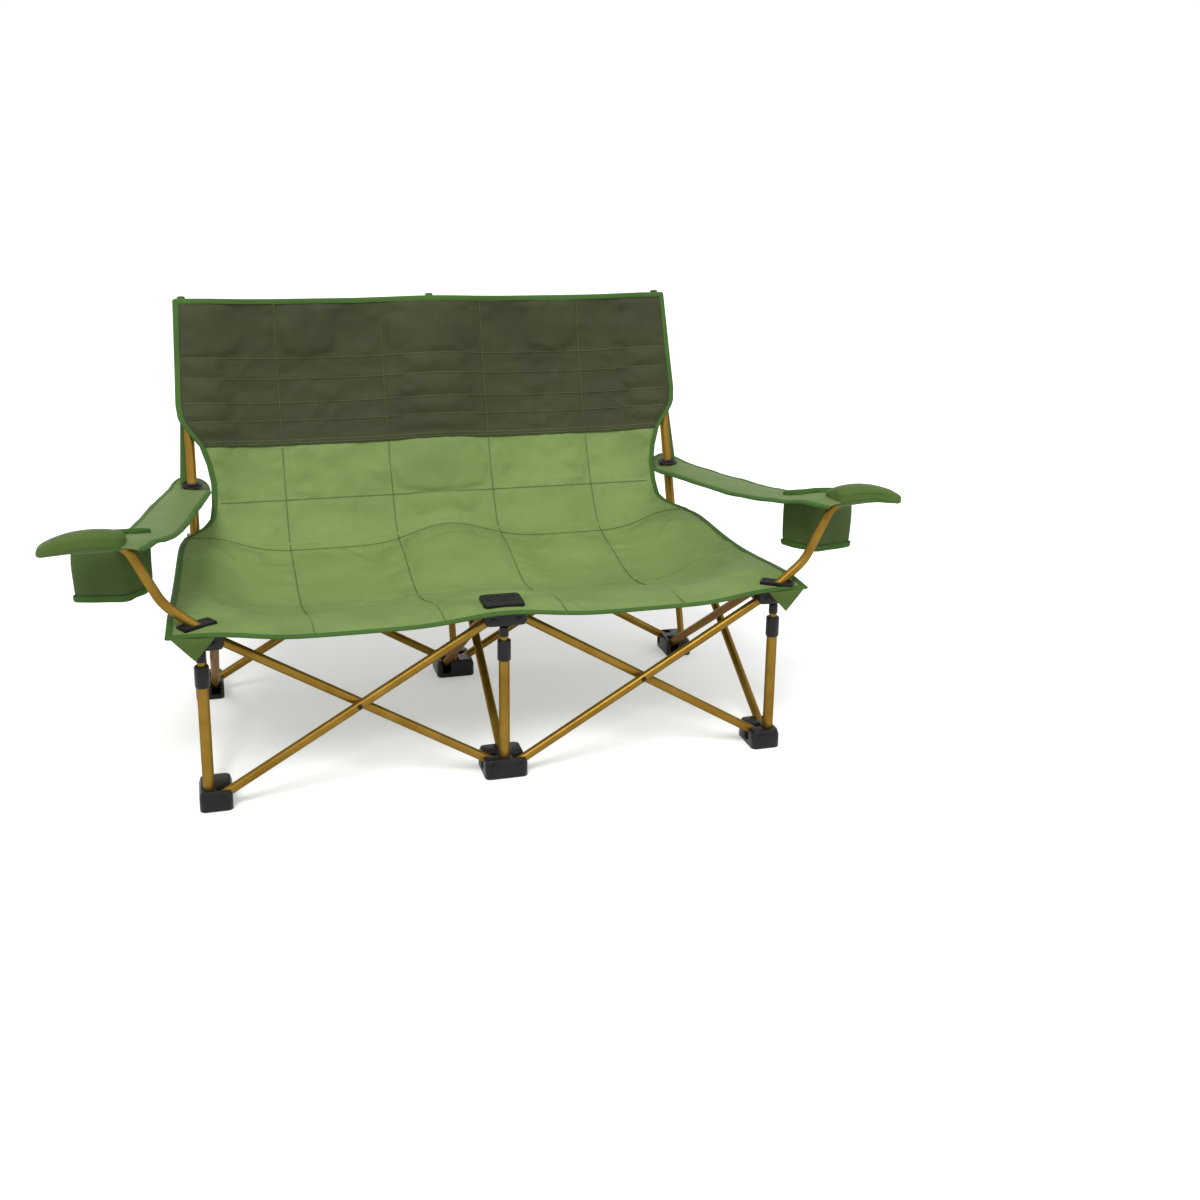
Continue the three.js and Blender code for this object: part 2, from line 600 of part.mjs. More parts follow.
// Quilted sling: a padded sheet over a middle surface, thin along its stitched lines and bound edge
function subdivided(lines, steps) {
  const stops = [];
  lines.slice(0, -1).forEach((from, i) => {
    for (let k = 0; k < steps; k += 1) {
      stops.push({ value: from + ((lines[i + 1] - from) * k) / steps, crown: Math.sin((Math.PI * k) / steps) });
    }
  });
  return [...stops, { value: lines.at(-1), crown: 0 }];
}

function quilted(acrossStops, downStops, surface) {
  const columns = acrossStops.length;
  const rows = downStops.length;
  const front = [];
  const back = [];
  downStops.forEach((down) => acrossStops.forEach((across) => {
    const { point, normal } = surface(across.value, down.value);
    const half = (STITCH + (PAD - STITCH) * Math.sqrt(across.crown * down.crown)) / 2;
    front.push(point.clone().addScaledVector(normal, half));
    back.push(point.clone().addScaledVector(normal, -half));
  }));
  const offset = front.length;
  const triangles = [];
  const quad = (a, b, c, d) => triangles.push(a, b, c, a, c, d);
  for (let r = 0; r < rows - 1; r += 1) {
    for (let c = 0; c < columns - 1; c += 1) {
      const i = r * columns + c;
      quad(i, i + 1, i + columns + 1, i + columns);
      quad(offset + i, offset + i + columns, offset + i + columns + 1, offset + i + 1);
    }
  }
  for (let c = 0; c < columns - 1; c += 1) {
    const last = (rows - 1) * columns + c;
    quad(c, offset + c, offset + c + 1, c + 1);
    quad(last, last + 1, offset + last + 1, offset + last);
  }
  for (let r = 0; r < rows - 1; r += 1) {
    const left = r * columns;
    const right = left + columns - 1;
    quad(left, left + columns, offset + left + columns, offset + left);
    quad(right, offset + right, offset + right + columns, right + columns);
  }
  return toSolid(meshOf([...front, ...back].flatMap((p) => [p.x, p.y, p.z]), triangles));
}

// Across the sling the outer columns reach the edge, wherever that is; the inner lines run straight
const columnLines = [-1, -STITCH_OUTER_X / BAY, -STITCH_INNER_X / BAY, STITCH_INNER_X / BAY, STITCH_OUTER_X / BAY, 1];

function columnX(share, halfWidth) {
  const inner = STITCH_OUTER_X / BAY;
  const size = Math.abs(share);
  if (size <= inner) {
    return share * BAY;
  }
  const x = STITCH_OUTER_X + ((size - inner) / (1 - inner)) * (halfWidth - STITCH_OUTER_X);
  return Math.sign(share) * x;
}

const SEAT_Z = HUB_TOP + SEAT_ABOVE_HUB;

// Nothing at a post, all of it midway to the next
function betweenPosts(x) {
  return Math.sin((Math.PI * x) / BAY) ** 2;
}

function seatHalf(y) {
  const share = THREE.MathUtils.clamp((SEAT_BACK_Y - y) / (SEAT_BACK_Y - SEAT_FRONT_Y), 0, 1);
  return THREE.MathUtils.lerp(SEAT_HALF_BACK, SEAT_HALF_FRONT, share);
}

function seatSurface(share, down, y0, y1) {
  const edgeX = columnX(share, SEAT_HALF_FRONT);
  const frontY0 = y0 + SEAT_CORNER_BACK * (edgeX / SEAT_HALF_FRONT) ** 2 * (y0 < 0 ? 1 : 0);
  const y = THREE.MathUtils.lerp(frontY0, y1, down);
  const x = columnX(share, seatHalf(y));
  const clear = (REAR_PIVOT_Y - REAR_BLOCK_FRONT) - BLOCK_BACK;
  const away = THREE.MathUtils.clamp((y - BLOCK_BACK) / clear, 0, 1);
  const rise = 1 - THREE.MathUtils.smoothstep(y, SEAT_BACK_Y - SEAT_RISE_DEPTH, SEAT_BACK_Y);
  const middle = Math.sin(Math.PI * away) ** 2;
  const level = THREE.MathUtils.lerp(1, SEAT_LEVEL_SHARE, middle);
  const between = THREE.MathUtils.lerp(SEAT_SAG_EDGE, SEAT_SAG_REAR, away) * rise * level;
  const taut = THREE.MathUtils.smoothstep(Math.abs(x), SEAT_TAUT_START, SEAT_HALF_FRONT);
  const depth = THREE.MathUtils.lerp(SEAT_SAG_DEPTH, SEAT_SAG_SIDE, taut);
  const sag = between * betweenPosts(x) + depth * middle;
  return { point: at(x, y, SEAT_Z - sag), normal: AXIS.z };
}

function patchCenterY(side) {
  return frontY(side > 0);
}

function patchBox(side, grow, z0, z1) {
  const pivotX = besidePost(side, -side);
  const inner = pivotX - side * (PATCH_IN + grow);
  const outer = pivotX + side * (PATCH_OUT + grow);
  const halfY = SLOT_HALF + (grow > 0 ? PATCH_SIDE + grow - PATCH_BORDER : 0);
  return box(Math.min(inner, outer), Math.max(inner, outer),
    patchCenterY(side) - halfY, patchCenterY(side) + halfY, z0, z1);
}

function seatPatch(side) {
  const z0 = HUB_TOP + FIT;
  return patchBox(side, PATCH_BORDER, z0, z0 + PLATE_HEIGHT).subtract(patchBox(side, 0, z0 - 1, z0 + PLATE_HEIGHT + 1));
}

function seatPlate() {
  const z0 = HUB_TOP + FIT;
  const plate = block([-PLATE_HALF_X, PLATE_HALF_X, PLATE_FRONT, PLATE_BACK],
    [[z0, 0], [z0 + PLATE_HEIGHT - 2, 0], [z0 + PLATE_HEIGHT, 2]]);
  return plate;
}

function seatPanel(y0, y1, stitchedY) {
  const rowLines = [0, ...stitchedY.map((y) => (y - y0) / (y1 - y0)), 1];
  const panel = quilted(subdivided(columnLines, 4), subdivided(rowLines, 2), (s, d) => seatSurface(s, d, y0, y1));
  if (y0 > 0) {
    return panel;
  }
  const low = HUB_BOTTOM;
  const high = HUB_TOP + 40;
  const plateCut = box(-PLATE_HALF_X - FIT, PLATE_HALF_X + FIT, PLATE_FRONT - FIT, PLATE_BACK + FIT, low, high);
  return CORNERS.reduce((body, [, side]) => body.subtract(patchBox(side, PATCH_BORDER + FIT, low, high)),
    panel.subtract(plateCut));
}

// The back's side edge: wide ears over the uprights, drawn in at the waist, wide again at the seat
function backHalf(along) {
  const ear = UPRIGHT_END - BACK_EAR_LENGTH;
  const widening = BACK_EAR_HALF - BACK_WAIST_HALF;
  const stops = [
    [BACK_START, BACK_FOOT_HALF], [BACK_START + BACK_FOOT_CURVE, BACK_WAIST_HALF + widening / 8],
    [ear - BACK_WAIST_UNDER_EAR, BACK_WAIST_HALF], [ear - BACK_EAR_CURVE, BACK_WAIST_HALF + widening / 6],
    [ear - BACK_EAR_CURVE / 2, BACK_EAR_HALF - widening / 4], [ear, BACK_EAR_HALF], [UPRIGHT_END + 1, BACK_EAR_HALF],
  ];
  const next = stops.findIndex(([stop]) => stop >= along);
  const [a0, w0] = stops[Math.max(next - 1, 0)];
  const [a1, w1] = stops[Math.max(next, 1)];
  return THREE.MathUtils.lerp(w0, w1, THREE.MathUtils.clamp((along - a0) / (a1 - a0), 0, 1));
}

function backPanel() {
  const offset = UPRIGHT_R + BACK_OFF_UPRIGHT + PAD / 2;
  const rowLines = [BACK_START, ...BACK_LINES.map((line) => BACK_START + line), UPRIGHT_END];
  return quilted(subdivided(columnLines, 4), subdivided(rowLines, 2), (share, along) => {
    const x = columnX(share, backHalf(along));
    const up = (along - BACK_START) / (UPRIGHT_END - BACK_START);
    const billow = BACK_BILLOW * betweenPosts(x) * Math.sin(0.85 * Math.PI * up);
    const middle = uprightAt(0, along).addScaledVector(LEAN_FRONT, offset - billow);
    middle.x = x;
    return { point: middle, normal: LEAN_FRONT };
  });
}

// Armrests: a cloth strip from the upright's eyelet to a stuffed sleeve over the end of the arm tube
function stripStations(side) {
  const eyelet = uprightAt(side, EYELET_ALONG);
  const x = BACK_WAIST_HALF + STRIP_WAIST_GAP + STRIP_REAR_HALF_WIDTH;
  const rear = { y: eyelet.y - EYELET_R - STRIP_REAR_GAP, x, z: eyelet.z, half: STRIP_REAR_HALF_WIDTH };
  return [rear, ...STRIP_STATIONS];
}

function stripRing(side, stations, i) {
  const here = stations[i];
  const before = stations[Math.max(i - 1, 0)];
  const after = stations[Math.min(i + 1, stations.length - 1)];
  const up = at(0, -(after.z - before.z), after.y - before.y).normalize().multiplyScalar(-STRIP_HALF);
  const center = at(side * here.x, here.y, here.z);
  const rim = 0.45;
  const corner = (sx, su) => center.clone().add(at(sx * here.half, 0, 0)).addScaledVector(up, su);
  return [corner(1, -rim), corner(1, rim), corner(0.9, 1), corner(-0.9, 1),
    corner(-1, rim), corner(-1, -rim), corner(-0.9, -1), corner(0.9, -1)];
}

// The sleeve's section at one place along it: a hem in front, a crowned top, and room for the tube below
function sleeveRing(side, x, size) {
  const fall = SLEEVE_ARCH_RADIUS - Math.sqrt(SLEEVE_ARCH_RADIUS ** 2 - (x - SLEEVE_ARCH_X) ** 2);
  const top = SLEEVE_TOP - fall;
  const deep = SLEEVE_BACK - SLEEVE_FRONT;
  const tall = SLEEVE_TOP - SLEEVE_HEM;
  const center = new THREE.Vector2((SLEEVE_FRONT + SLEEVE_BACK) / 2, top - tall / 2);
  const section = [
    [SLEEVE_FRONT, SLEEVE_HEM - fall / 2], [SLEEVE_FRONT, top - tall * 0.4], [SLEEVE_FRONT + deep * 0.12, top - tall * 0.1],
    [SLEEVE_FRONT + deep * 0.4, top], [SLEEVE_BACK - deep * 0.2, top - tall * 0.3], [SLEEVE_BACK, top - tall * 0.7],
    [SLEEVE_BACK, SLEEVE_UNDER + tall * 0.3], [SLEEVE_BACK - deep * 0.12, SLEEVE_UNDER],
    [SLEEVE_FRONT + deep * 0.35, SLEEVE_UNDER], [SLEEVE_FRONT + deep * 0.1, SLEEVE_HEM - tall * 0.12 - fall / 2],
  ].map(([y, z]) => at(side * x, center.x + (y - center.x) * size, center.y + (z - center.y) * size));
  return side > 0 ? section.reverse() : section;
}

function stuffedSleeve(side) {
  const long = SLEEVE_OUTER - SLEEVE_INNER;
  const rings = [[0, 0.84], [0.06, 1], [0.22, 1], [0.4, 1], [0.58, 1], [0.76, 0.98], [0.9, 0.92], [0.97, 0.74], [1, 0.4]];
  return toSolid(loft(rings.map(([share, size]) => sleeveRing(side, SLEEVE_INNER + long * share, size))));
}

function tunnel(side) {
  const radius = (TUBE_R + SLEEVE_GAP) / Math.cos(Math.PI / TUBE_SIDES);
  return toSolid(loft(armStations(side, SLEEVE_GAP).map(({ point, along }) => circle(
    point, AXIS.y.clone().cross(along), AXIS.y, radius, TUBE_SIDES,
  ))));
}

function armrest(side) {
  const stations = stripStations(side);
  const strip = toSolid(loft(stations.map((_, i) => stripRing(side, stations, i))));
  return strip.add(stuffedSleeve(side)).subtract(tunnel(side));
}

// A pocket's place in plan, by shares of its two half sides, and the strip's underside above it
function pocketPlace(side, across, along, z) {
  const plan = POCKET_CENTER.clone().addScaledVector(POCKET_ACROSS, across).addScaledVector(POCKET_ALONG, along);
  const [fore, front] = STRIP_STATIONS.slice(1);
  const slope = (fore.z - front.z) / (fore.y - front.y);
  const under = front.z + (plan.y - front.y) * slope - (STRIP_HALF + FIT) * Math.hypot(1, slope);
  return at(side * plan.x, plan.y, z === null ? under : z);
}

function pocketRing(side, share, z) {
  const ring = roundedRing(-share, share, -share, share, POCKET_CORNER * share, 0);
  const places = ring.map((p) => pocketPlace(side, p.x, p.y, z));
  return side < 0 ? places.reverse() : places;
}

function pocketShell(side, inset, bottom, topLift) {
  const share = 1 - inset / Math.min(POCKET_ACROSS.length(), POCKET_ALONG.length());
  const rim = pocketRing(side, share, null).map((p) => p.setZ(p.z + topLift));
  return toSolid(loft([pocketRing(side, share - POCKET_DRAW_IN, bottom), pocketRing(side, share, POCKET_SWELL_Z), rim]));
}

function cupPocket(side) {
  return pocketShell(side, 0, POCKET_BOTTOM_Z, 0)
    .subtract(pocketShell(side, POCKET_WALL, POCKET_BOTTOM_Z + POCKET_WALL, 1));
}

// The loveseat, piece by piece
SIDES.forEach(([label, side]) => {
  place(`foot_front_${label}`, frontFoot(side), black);
  frontPost(label, side);
  place(`hub_front_${label}`, frontHub(side), black);
  place(`side_brace_front_${label}`, sideBrace(side, true), bronze);
  place(`side_brace_rear_${label}`, sideBrace(side, false), bronze);
  place(`foot_rear_${label}`, rearFoot(side), black);
  place(`hub_rear_${label}`, rearHub(side), black);
  upright(label, side);
});
CORNERS.forEach(([label, side]) => {
  place(`arm_tube_${label}`, armTube(side), bronze);
  place(`front_brace_${label}`, frontBrace(side), bronze);
  place(`rear_brace_corner_${label}`, rearBrace(side, true), bronze);
  place(`rear_brace_center_${label}`, rearBrace(side, false), bronze);
  place(`arm_eyelet_${label}`, sleeve(uprightAt(side, EYELET_ALONG), UP_LEAN,
    -EYELET_HEIGHT / 2, EYELET_HEIGHT / 2, EYELET_R, (UPRIGHT_R + FIT) / Math.cos(Math.PI / ROUND_SIDES),
    ROUND_SIDES), black);
  place(`armrest_${label}`, armrest(side), green);
  place(`cup_pocket_${label}`, cupPocket(side), green);
  place(`seat_patch_${label}`, seatPatch(side), black);
});
place('seat_plate_center', seatPlate(), black);
place('seat_panel_front', seatPanel(SEAT_FRONT_Y, SEAT_SPLIT_Y - SEAT_GAP / 2, [BLOCK_BACK, SEAT_MID_STITCH_Y]), green);
place('seat_panel_rear',
  seatPanel(SEAT_SPLIT_Y + SEAT_GAP / 2, SEAT_BACK_Y, [REAR_PIVOT_Y - REAR_BLOCK_FRONT]), green);
place('back_panel', backPanel(), olive);

// The origin is on the floor, under the middle of the chair
const extent = new THREE.Box3().setFromObject(loveseat);
loveseat.position.set(0, -(extent.min.y + extent.max.y) / 2, -extent.min.z);

export default loveseat;
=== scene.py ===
# %% [markdown]
# # A folding camping loveseat
# A low two-seater for camp: bronze tubes cross in scissor pairs, black mouldings hold their ends,
# and a quilted sling hangs between the hubs and the leaning uprights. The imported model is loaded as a
# fixed frame, so every piece below is placed from it and rides on one of its bodies.

# %% Load the frame
import math

import bpy
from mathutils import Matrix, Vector, noise


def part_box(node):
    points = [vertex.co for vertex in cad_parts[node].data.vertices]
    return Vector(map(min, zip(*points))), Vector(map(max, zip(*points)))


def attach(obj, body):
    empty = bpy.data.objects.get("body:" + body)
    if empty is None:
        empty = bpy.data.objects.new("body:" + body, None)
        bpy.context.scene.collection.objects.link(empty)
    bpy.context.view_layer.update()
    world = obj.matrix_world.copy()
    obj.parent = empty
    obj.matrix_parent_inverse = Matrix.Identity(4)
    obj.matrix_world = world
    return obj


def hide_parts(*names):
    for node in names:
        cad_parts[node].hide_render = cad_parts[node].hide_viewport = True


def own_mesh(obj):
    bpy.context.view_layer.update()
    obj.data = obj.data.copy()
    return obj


MM = 0.001
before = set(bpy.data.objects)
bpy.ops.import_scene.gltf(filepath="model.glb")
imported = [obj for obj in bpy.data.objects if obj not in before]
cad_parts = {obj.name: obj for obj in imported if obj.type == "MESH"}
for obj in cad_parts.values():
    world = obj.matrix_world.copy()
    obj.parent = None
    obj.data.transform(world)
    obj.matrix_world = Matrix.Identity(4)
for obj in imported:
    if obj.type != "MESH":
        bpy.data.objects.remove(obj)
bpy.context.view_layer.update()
POST_LOW, POST_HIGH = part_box("post_front_center")
POST_Y = (POST_LOW.y + POST_HIGH.y) / 2
RIGHT_LOW, RIGHT_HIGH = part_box("post_front_right")
BAY = round((RIGHT_LOW.x + RIGHT_HIGH.x) / 2 / MM, 3)
SIDES = {"left": -1, "center": 0, "right": 1}
CORNERS = {"left": -1, "right": 1}
print("post row at", round(POST_Y, 4), "m, posts", BAY, "mm apart")


# %% [markdown]
# Places are easiest to think of in millimetres from the foot of the middle front post: x to the right,
# y towards the back and z up. One small function turns such a place into the frame's metres.

# %% Places and selection
def spot(x, y, z):
    return Vector((x * MM, POST_Y + y * MM, z * MM))


def clear_selection():
    if bpy.context.object and bpy.context.object.mode != "OBJECT":
        bpy.ops.object.mode_set(mode="OBJECT")
    bpy.ops.object.select_all(action="DESELECT")


def pick_up(piece):
    clear_selection()
    piece.select_set(True)
    bpy.context.view_layer.objects.active = piece
    return piece


def named(name):
    piece = bpy.context.object
    piece.name = name
    piece.data.name = name
    return piece


def fresh(name):
    """Names a primitive that was just added, and applies its place and turn."""
    piece = named(name)
    bpy.ops.object.transform_apply(location=True, rotation=True, scale=True)
    return piece


# %% [markdown]
# Modelling by hand goes in and out of edit mode, adds modifiers and shades the result. These helpers do the
# same, and the last one gives a finished piece its material and its body, and hides the nodes that it stands
# for.

# %% Editing and dressing
def edit_all(piece):
    """Opens a piece in edit mode with everything selected."""
    pick_up(piece)
    bpy.ops.object.mode_set(mode="EDIT")
    bpy.ops.mesh.select_mode(type="VERT")
    bpy.ops.mesh.select_all(action="SELECT")


def leave_edit():
    bpy.ops.object.mode_set(mode="OBJECT")


def select_faces(piece, wanted):
    """Leaves edit mode's face selection on the faces that wanted() accepts."""
    bpy.ops.object.mode_set(mode="EDIT")
    bpy.ops.mesh.select_mode(type="FACE")
    bpy.ops.mesh.select_all(action="DESELECT")
    leave_edit()
    for face in piece.data.polygons:
        face.select = wanted(face)
    bpy.ops.object.mode_set(mode="EDIT")


def smooth(degrees):
    """Smooth shading, except where two faces meet at more than this angle."""
    bpy.ops.object.shade_smooth_by_angle(angle=math.radians(degrees))


def set_all(thing, settings):
    for key, value in settings.items():
        setattr(thing, key, value)


def modify(piece, kind, **settings):
    """Adds one modifier and applies it."""
    pick_up(piece)
    modifier = piece.modifiers.new(kind.title(), kind)
    set_all(modifier, settings)
    bpy.ops.object.modifier_apply(modifier=modifier.name)


def dress(piece, body, material, slot, *nodes):
    """Gives a finished piece its material and its body, and hides the nodes that it stands for."""
    piece.data.materials.clear()
    piece.data.materials.append(material)
    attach(piece, body)
    if nodes:
        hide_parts(*nodes)
    return piece


# %% [markdown]
# ## Finishes
# Every finish is built from nodes. A helper starts a Principled material, and another blends two colours
# by a noise pattern, because no real surface keeps one flat colour.

# %% Material helpers
def start_material(name):
    material = bpy.data.materials.new(name)
    material.use_nodes = True
    return material, material.node_tree, material.node_tree.nodes["Principled BSDF"]


def srgb(red, green, blue):
    """An eight-bit screen colour as the linear colour that shaders use."""
    def linear(value):
        share = value / 255
        return share / 12.92 if share <= 0.04045 else ((share + 0.055) / 1.055) ** 2.4
    return (linear(red), linear(green), linear(blue), 1)


def feed(tree, node, inputs):
    """Sets inputs of a node, each to a plain value or to what another node puts out."""
    for name, value in inputs.items():
        if isinstance(value, bpy.types.NodeSocket):
            tree.links.new(value, node.inputs[name])
        else:
            node.inputs[name].default_value = value
    return node


def add_node(tree, kind, inputs):
    return feed(tree, tree.nodes.new("ShaderNode" + kind), inputs)


def object_space(tree, scale=(1, 1, 1)):
    place = add_node(tree, "TexCoord", {}).outputs["Object"]
    return add_node(tree, "Mapping", {"Scale": scale, "Vector": place}).outputs["Vector"]


def noise_texture(tree, vector, scale, detail=3.0, roughness=0.55):
    settings = {"Scale": scale, "Detail": detail, "Roughness": roughness, "Vector": vector}
    return add_node(tree, "TexNoise", settings).outputs["Fac"]


def two_tone(tree, factor, low, high, start=0.3, end=0.7):
    ramp = add_node(tree, "ValToRGB", {"Fac": factor})
    for element, position, tone in zip(ramp.color_ramp.elements, (start, end), (low, high)):
        element.position = position
        element.color = srgb(*tone)
    return ramp.outputs["Color"]


def value_range(tree, factor, low, high):
    settings = {"To Min": low, "To Max": high, "Value": factor}
    return add_node(tree, "MapRange", settings).outputs["Result"]


def bump(tree, height, strength, distance, below=None):
    settings = {"Strength": strength, "Distance": distance, "Height": height}
    if below is not None:
        settings["Normal"] = below
    return add_node(tree, "Bump", settings).outputs["Normal"]


# %% [markdown]
# The tubes are drawn steel with a satin bronze coat: a wide noise shifts its tone and roughness, and a fine
# one is its grain. The thin rods are bare, and a noise stretched along them makes their drawing lines.

# %% Tube finish
def bronze_coat():
    material, tree, shader = start_material("bronze_coat")
    here = object_space(tree)
    broad = noise_texture(tree, here, 18)
    fine = noise_texture(tree, here, 900, 2)
    feed(tree, shader, {
        "Base Color": two_tone(tree, broad, (124, 95, 34), (146, 115, 48)),
        "Metallic": 0.65,
        "Specular IOR Level": 0.3,
        "Specular Tint": srgb(176, 144, 86),
        "Roughness": value_range(tree, broad, 0.3, 0.4),
        "Normal": bump(tree, fine, 0.12, 0.0002)})
    return material


def rod_steel():
    material, tree, shader = start_material("rod_steel")
    lines = noise_texture(tree, object_space(tree, (1, 1, 0.03)), 1400, 2)
    feed(tree, shader, {
        "Base Color": two_tone(tree, lines, (96, 92, 86), (140, 136, 130)),
        "Metallic": 0.95,
        "Roughness": value_range(tree, lines, 0.25, 0.4)})
    return material


BRONZE = bronze_coat()
STEEL = rod_steel()


# %% [markdown]
# The mouldings are black nylon with the grain of a spark-eroded mould: a fine pebble in the bump, and
# dusty lighter patches in the colour.

# %% Moulded nylon
def moulded_black():
    material, tree, shader = start_material("moulded_black")
    here = object_space(tree)
    dust = noise_texture(tree, here, 30, 4)
    pebble = noise_texture(tree, here, 1600, 2)
    feed(tree, shader, {
        "Base Color": two_tone(tree, dust, (13, 12, 11), (28, 26, 24)),
        "Specular IOR Level": 0.25,
        "Roughness": value_range(tree, dust, 0.3, 0.48),
        "Normal": bump(tree, pebble, 0.35, 0.0004)})
    return material


BLACK = moulded_black()


# %% [markdown]
# The cloth is a coated plain weave. Warp and weft are two wave textures at right angles, multiplied into
# a fine bump, and soft noise adds the shading of worn cloth and the small crumples of quilting.
# One function makes every cloth, so that the greens differ only in colour and weave.

# %% Cloth
CLOTH_ROUGH = (0.54, 0.7)
BANDS_PER_SCALE = 3.2


def cloth(name, dark, light, weave_per_m=700, crumple=0.4):
    material, tree, shader = start_material(name)
    here = object_space(tree)
    shade = noise_texture(tree, here, 9, 4)
    fold = noise_texture(tree, object_space(tree, (1, 1, 0.5)), 28, 5, 0.5)
    threads = []
    for direction in ("X", "Z"):
        settings = {"Scale": weave_per_m / BANDS_PER_SCALE, "Distortion": 0.6, "Vector": here}
        wave = add_node(tree, "TexWave", settings)
        wave.bands_direction = direction
        threads.append(wave.outputs["Fac"])
    weave = add_node(tree, "Math", dict(enumerate(threads)))
    weave.operation = "MULTIPLY"
    crumpled = bump(tree, fold, crumple, 0.006)
    feed(tree, shader, {
        "Base Color": two_tone(tree, shade, dark, light, 0.25, 0.75),
        "Sheen Weight": 0.02,
        "Sheen Roughness": 0.4,
        "Specular IOR Level": 0.18,
        "Roughness": value_range(tree, shade, *CLOTH_ROUGH),
        "Normal": bump(tree, weave.outputs[0], 0.25, 0.0006, crumpled)})
    return material


LEAF = cloth("leaf_cloth", (114, 138, 76), (130, 153, 90))
FERN = cloth("fern_cloth", (99, 122, 66), (114, 137, 80))
MOSS = cloth("moss_cloth", (73, 96, 40), (87, 111, 52))
# The pocket's green is darker than the strip's: partly the cloth's own, partly painted shade for where the
# pocket hangs under the sleeve.
PINE_AND_SHADE = cloth("pine_cloth_and_painted_shade", (70, 90, 46), (84, 105, 56))
OLIVE = cloth("olive_cloth", (56, 59, 36), (68, 71, 46))
TAPE = cloth("binding_tape", (61, 94, 37), (74, 110, 47), 1100, 0.15)
THREAD = cloth("green_thread", (70, 92, 48), (92, 116, 62), 2500, 0.05)
PALE_THREAD = cloth("pale_thread", (88, 104, 62), (106, 122, 76), 2500, 0.05)
WEBBING = cloth("black_webbing", (28, 27, 25), (46, 44, 40), 420, 0.1)
print("finishes made:", len(bpy.data.materials))


# %% [markdown]
# ## Tubes
# A straight tube is a cylinder primitive whose two round ends are inset by the wall and pushed in, so
# that the open ends read as hollow. Thirty-two sides and smooth shading make it round.

# %% Straight tubes
TUBE_R, TUBE_SIDES, TUBE_SMOOTH = 8, 32, 40
WALL, BORE_SHOWN, BORE_TAPER = 1.5, 18, 0.05


def straight_tube(name, start, end, radius, wall=WALL):
    clear_selection()
    axis = end - start
    turn = axis.to_track_quat("Z", "Y").to_euler()
    bpy.ops.mesh.primitive_cylinder_add(
        vertices=TUBE_SIDES, radius=radius * MM, depth=axis.length, location=(start + end) / 2, rotation=turn)
    tube = fresh(name)
    select_faces(tube, lambda face: len(face.vertices) == TUBE_SIDES)
    bpy.ops.mesh.inset(thickness=wall * MM)
    bpy.ops.mesh.inset(thickness=BORE_TAPER * MM, depth=-BORE_SHOWN * MM)
    leave_edit()
    smooth(TUBE_SMOOTH)
    return tube


def bronze_tube(name, node, body, start, end, radius, wall=WALL):
    return dress(straight_tube(name, start, end, radius, wall), body, BRONZE, "frame_bronze", node)


# %% [markdown]
# The braces cross in pairs, in front, at the sides and at the back, and each runs from the pivot of a foot to
# the pivot of a hub. Only those two places are given, because a tube that is drawn from pivot to pivot
# can't miss its pins. Tubes that cross lie in planes a little apart.

# %% Braces
PIVOT_SIDE, PIVOT_BACK = 22.5, 35
FOOT_Z, HUB_Z = 24, 294
TUBE_END = 7
REAR_Y = PIVOT_BACK + BAY - 2 * PIVOT_SIDE
FRONT_PLANE = 8.5
REAR_PLANES = (REAR_Y + 23, REAR_Y + 40)
SIDE_GAP, CENTER_SIDE_X = 22, 2.5
SHORT = {"left": "l", "center": "c", "right": "r"}


def brace(node, body, foot, hub):
    """A tube from the pivot of a foot to that of a hub, which are given by x and y."""
    foot, hub = spot(*foot, FOOT_Z), spot(*hub, HUB_Z)
    along = (hub - foot).normalized() * TUBE_END * MM
    bronze_tube("tube_" + node, node, body, foot - along, hub + along, TUBE_R)


for label, side in CORNERS.items():
    key = SHORT[label]
    corner_x, center_x = side * (BAY - PIVOT_SIDE), side * PIVOT_SIDE
    front_y = side * FRONT_PLANE
    own_y, other_y = REAR_PLANES if side < 0 else REAR_PLANES[::-1]
    brace(f"front_brace_{label}", f"brace_f{key}", (corner_x, front_y), (center_x, front_y))
    brace(f"rear_brace_corner_{label}", f"rear_corner_{key}", (corner_x, own_y), (center_x, own_y))
    brace(f"rear_brace_center_{label}", f"rear_center_{key}", (center_x, other_y), (corner_x, other_y))

for label, side in SIDES.items():
    key = SHORT[label]
    front_x = side * BAY if side else CENTER_SIDE_X
    rear_x = front_x - (side or 1) * SIDE_GAP
    brace(f"side_brace_front_{label}", f"side_front_{key}", (front_x, PIVOT_BACK), (front_x, REAR_Y))
    brace(f"side_brace_rear_{label}", f"side_rear_{key}", (rear_x, REAR_Y), (rear_x, PIVOT_BACK))


# %% [markdown]
# The posts and uprights are straight tubes too, one inside the other: outer post, inner stage and rod in
# front, stem and upper tube at the back. When the frame folds they slide out of each other, so each is a
# whole tube, with the part that hides at rest. The uprights lean, so they are placed along their own line.

# %% Posts and uprights
FRONT_BODY = {"left": "foot_fl", "center": "base", "right": "foot_fr"}
LEAN = math.radians(19.2)
HINGE_Y = REAR_Y - 6
POST_R, STAGE_R, ROD_R, STEM_R, UPRIGHT_R = 9.5, 6.75, 3, 7, 9.5
ROD_WALL, UPRIGHT_WALL = 1, 2
POST_ENDS, STAGE_ENDS, ROD_ENDS = (6.3, 248), (26, 262), (36, 288.7)
STEM_END = 560
UPRIGHT_START, UPRIGHT_END = 250, 772


def along_upright(side, distance, forward=0):
    y = HINGE_Y + distance * math.sin(LEAN) - forward * math.cos(LEAN)
    z = FOOT_Z + distance * math.cos(LEAN) + forward * math.sin(LEAN)
    return spot(side * BAY, y, z)


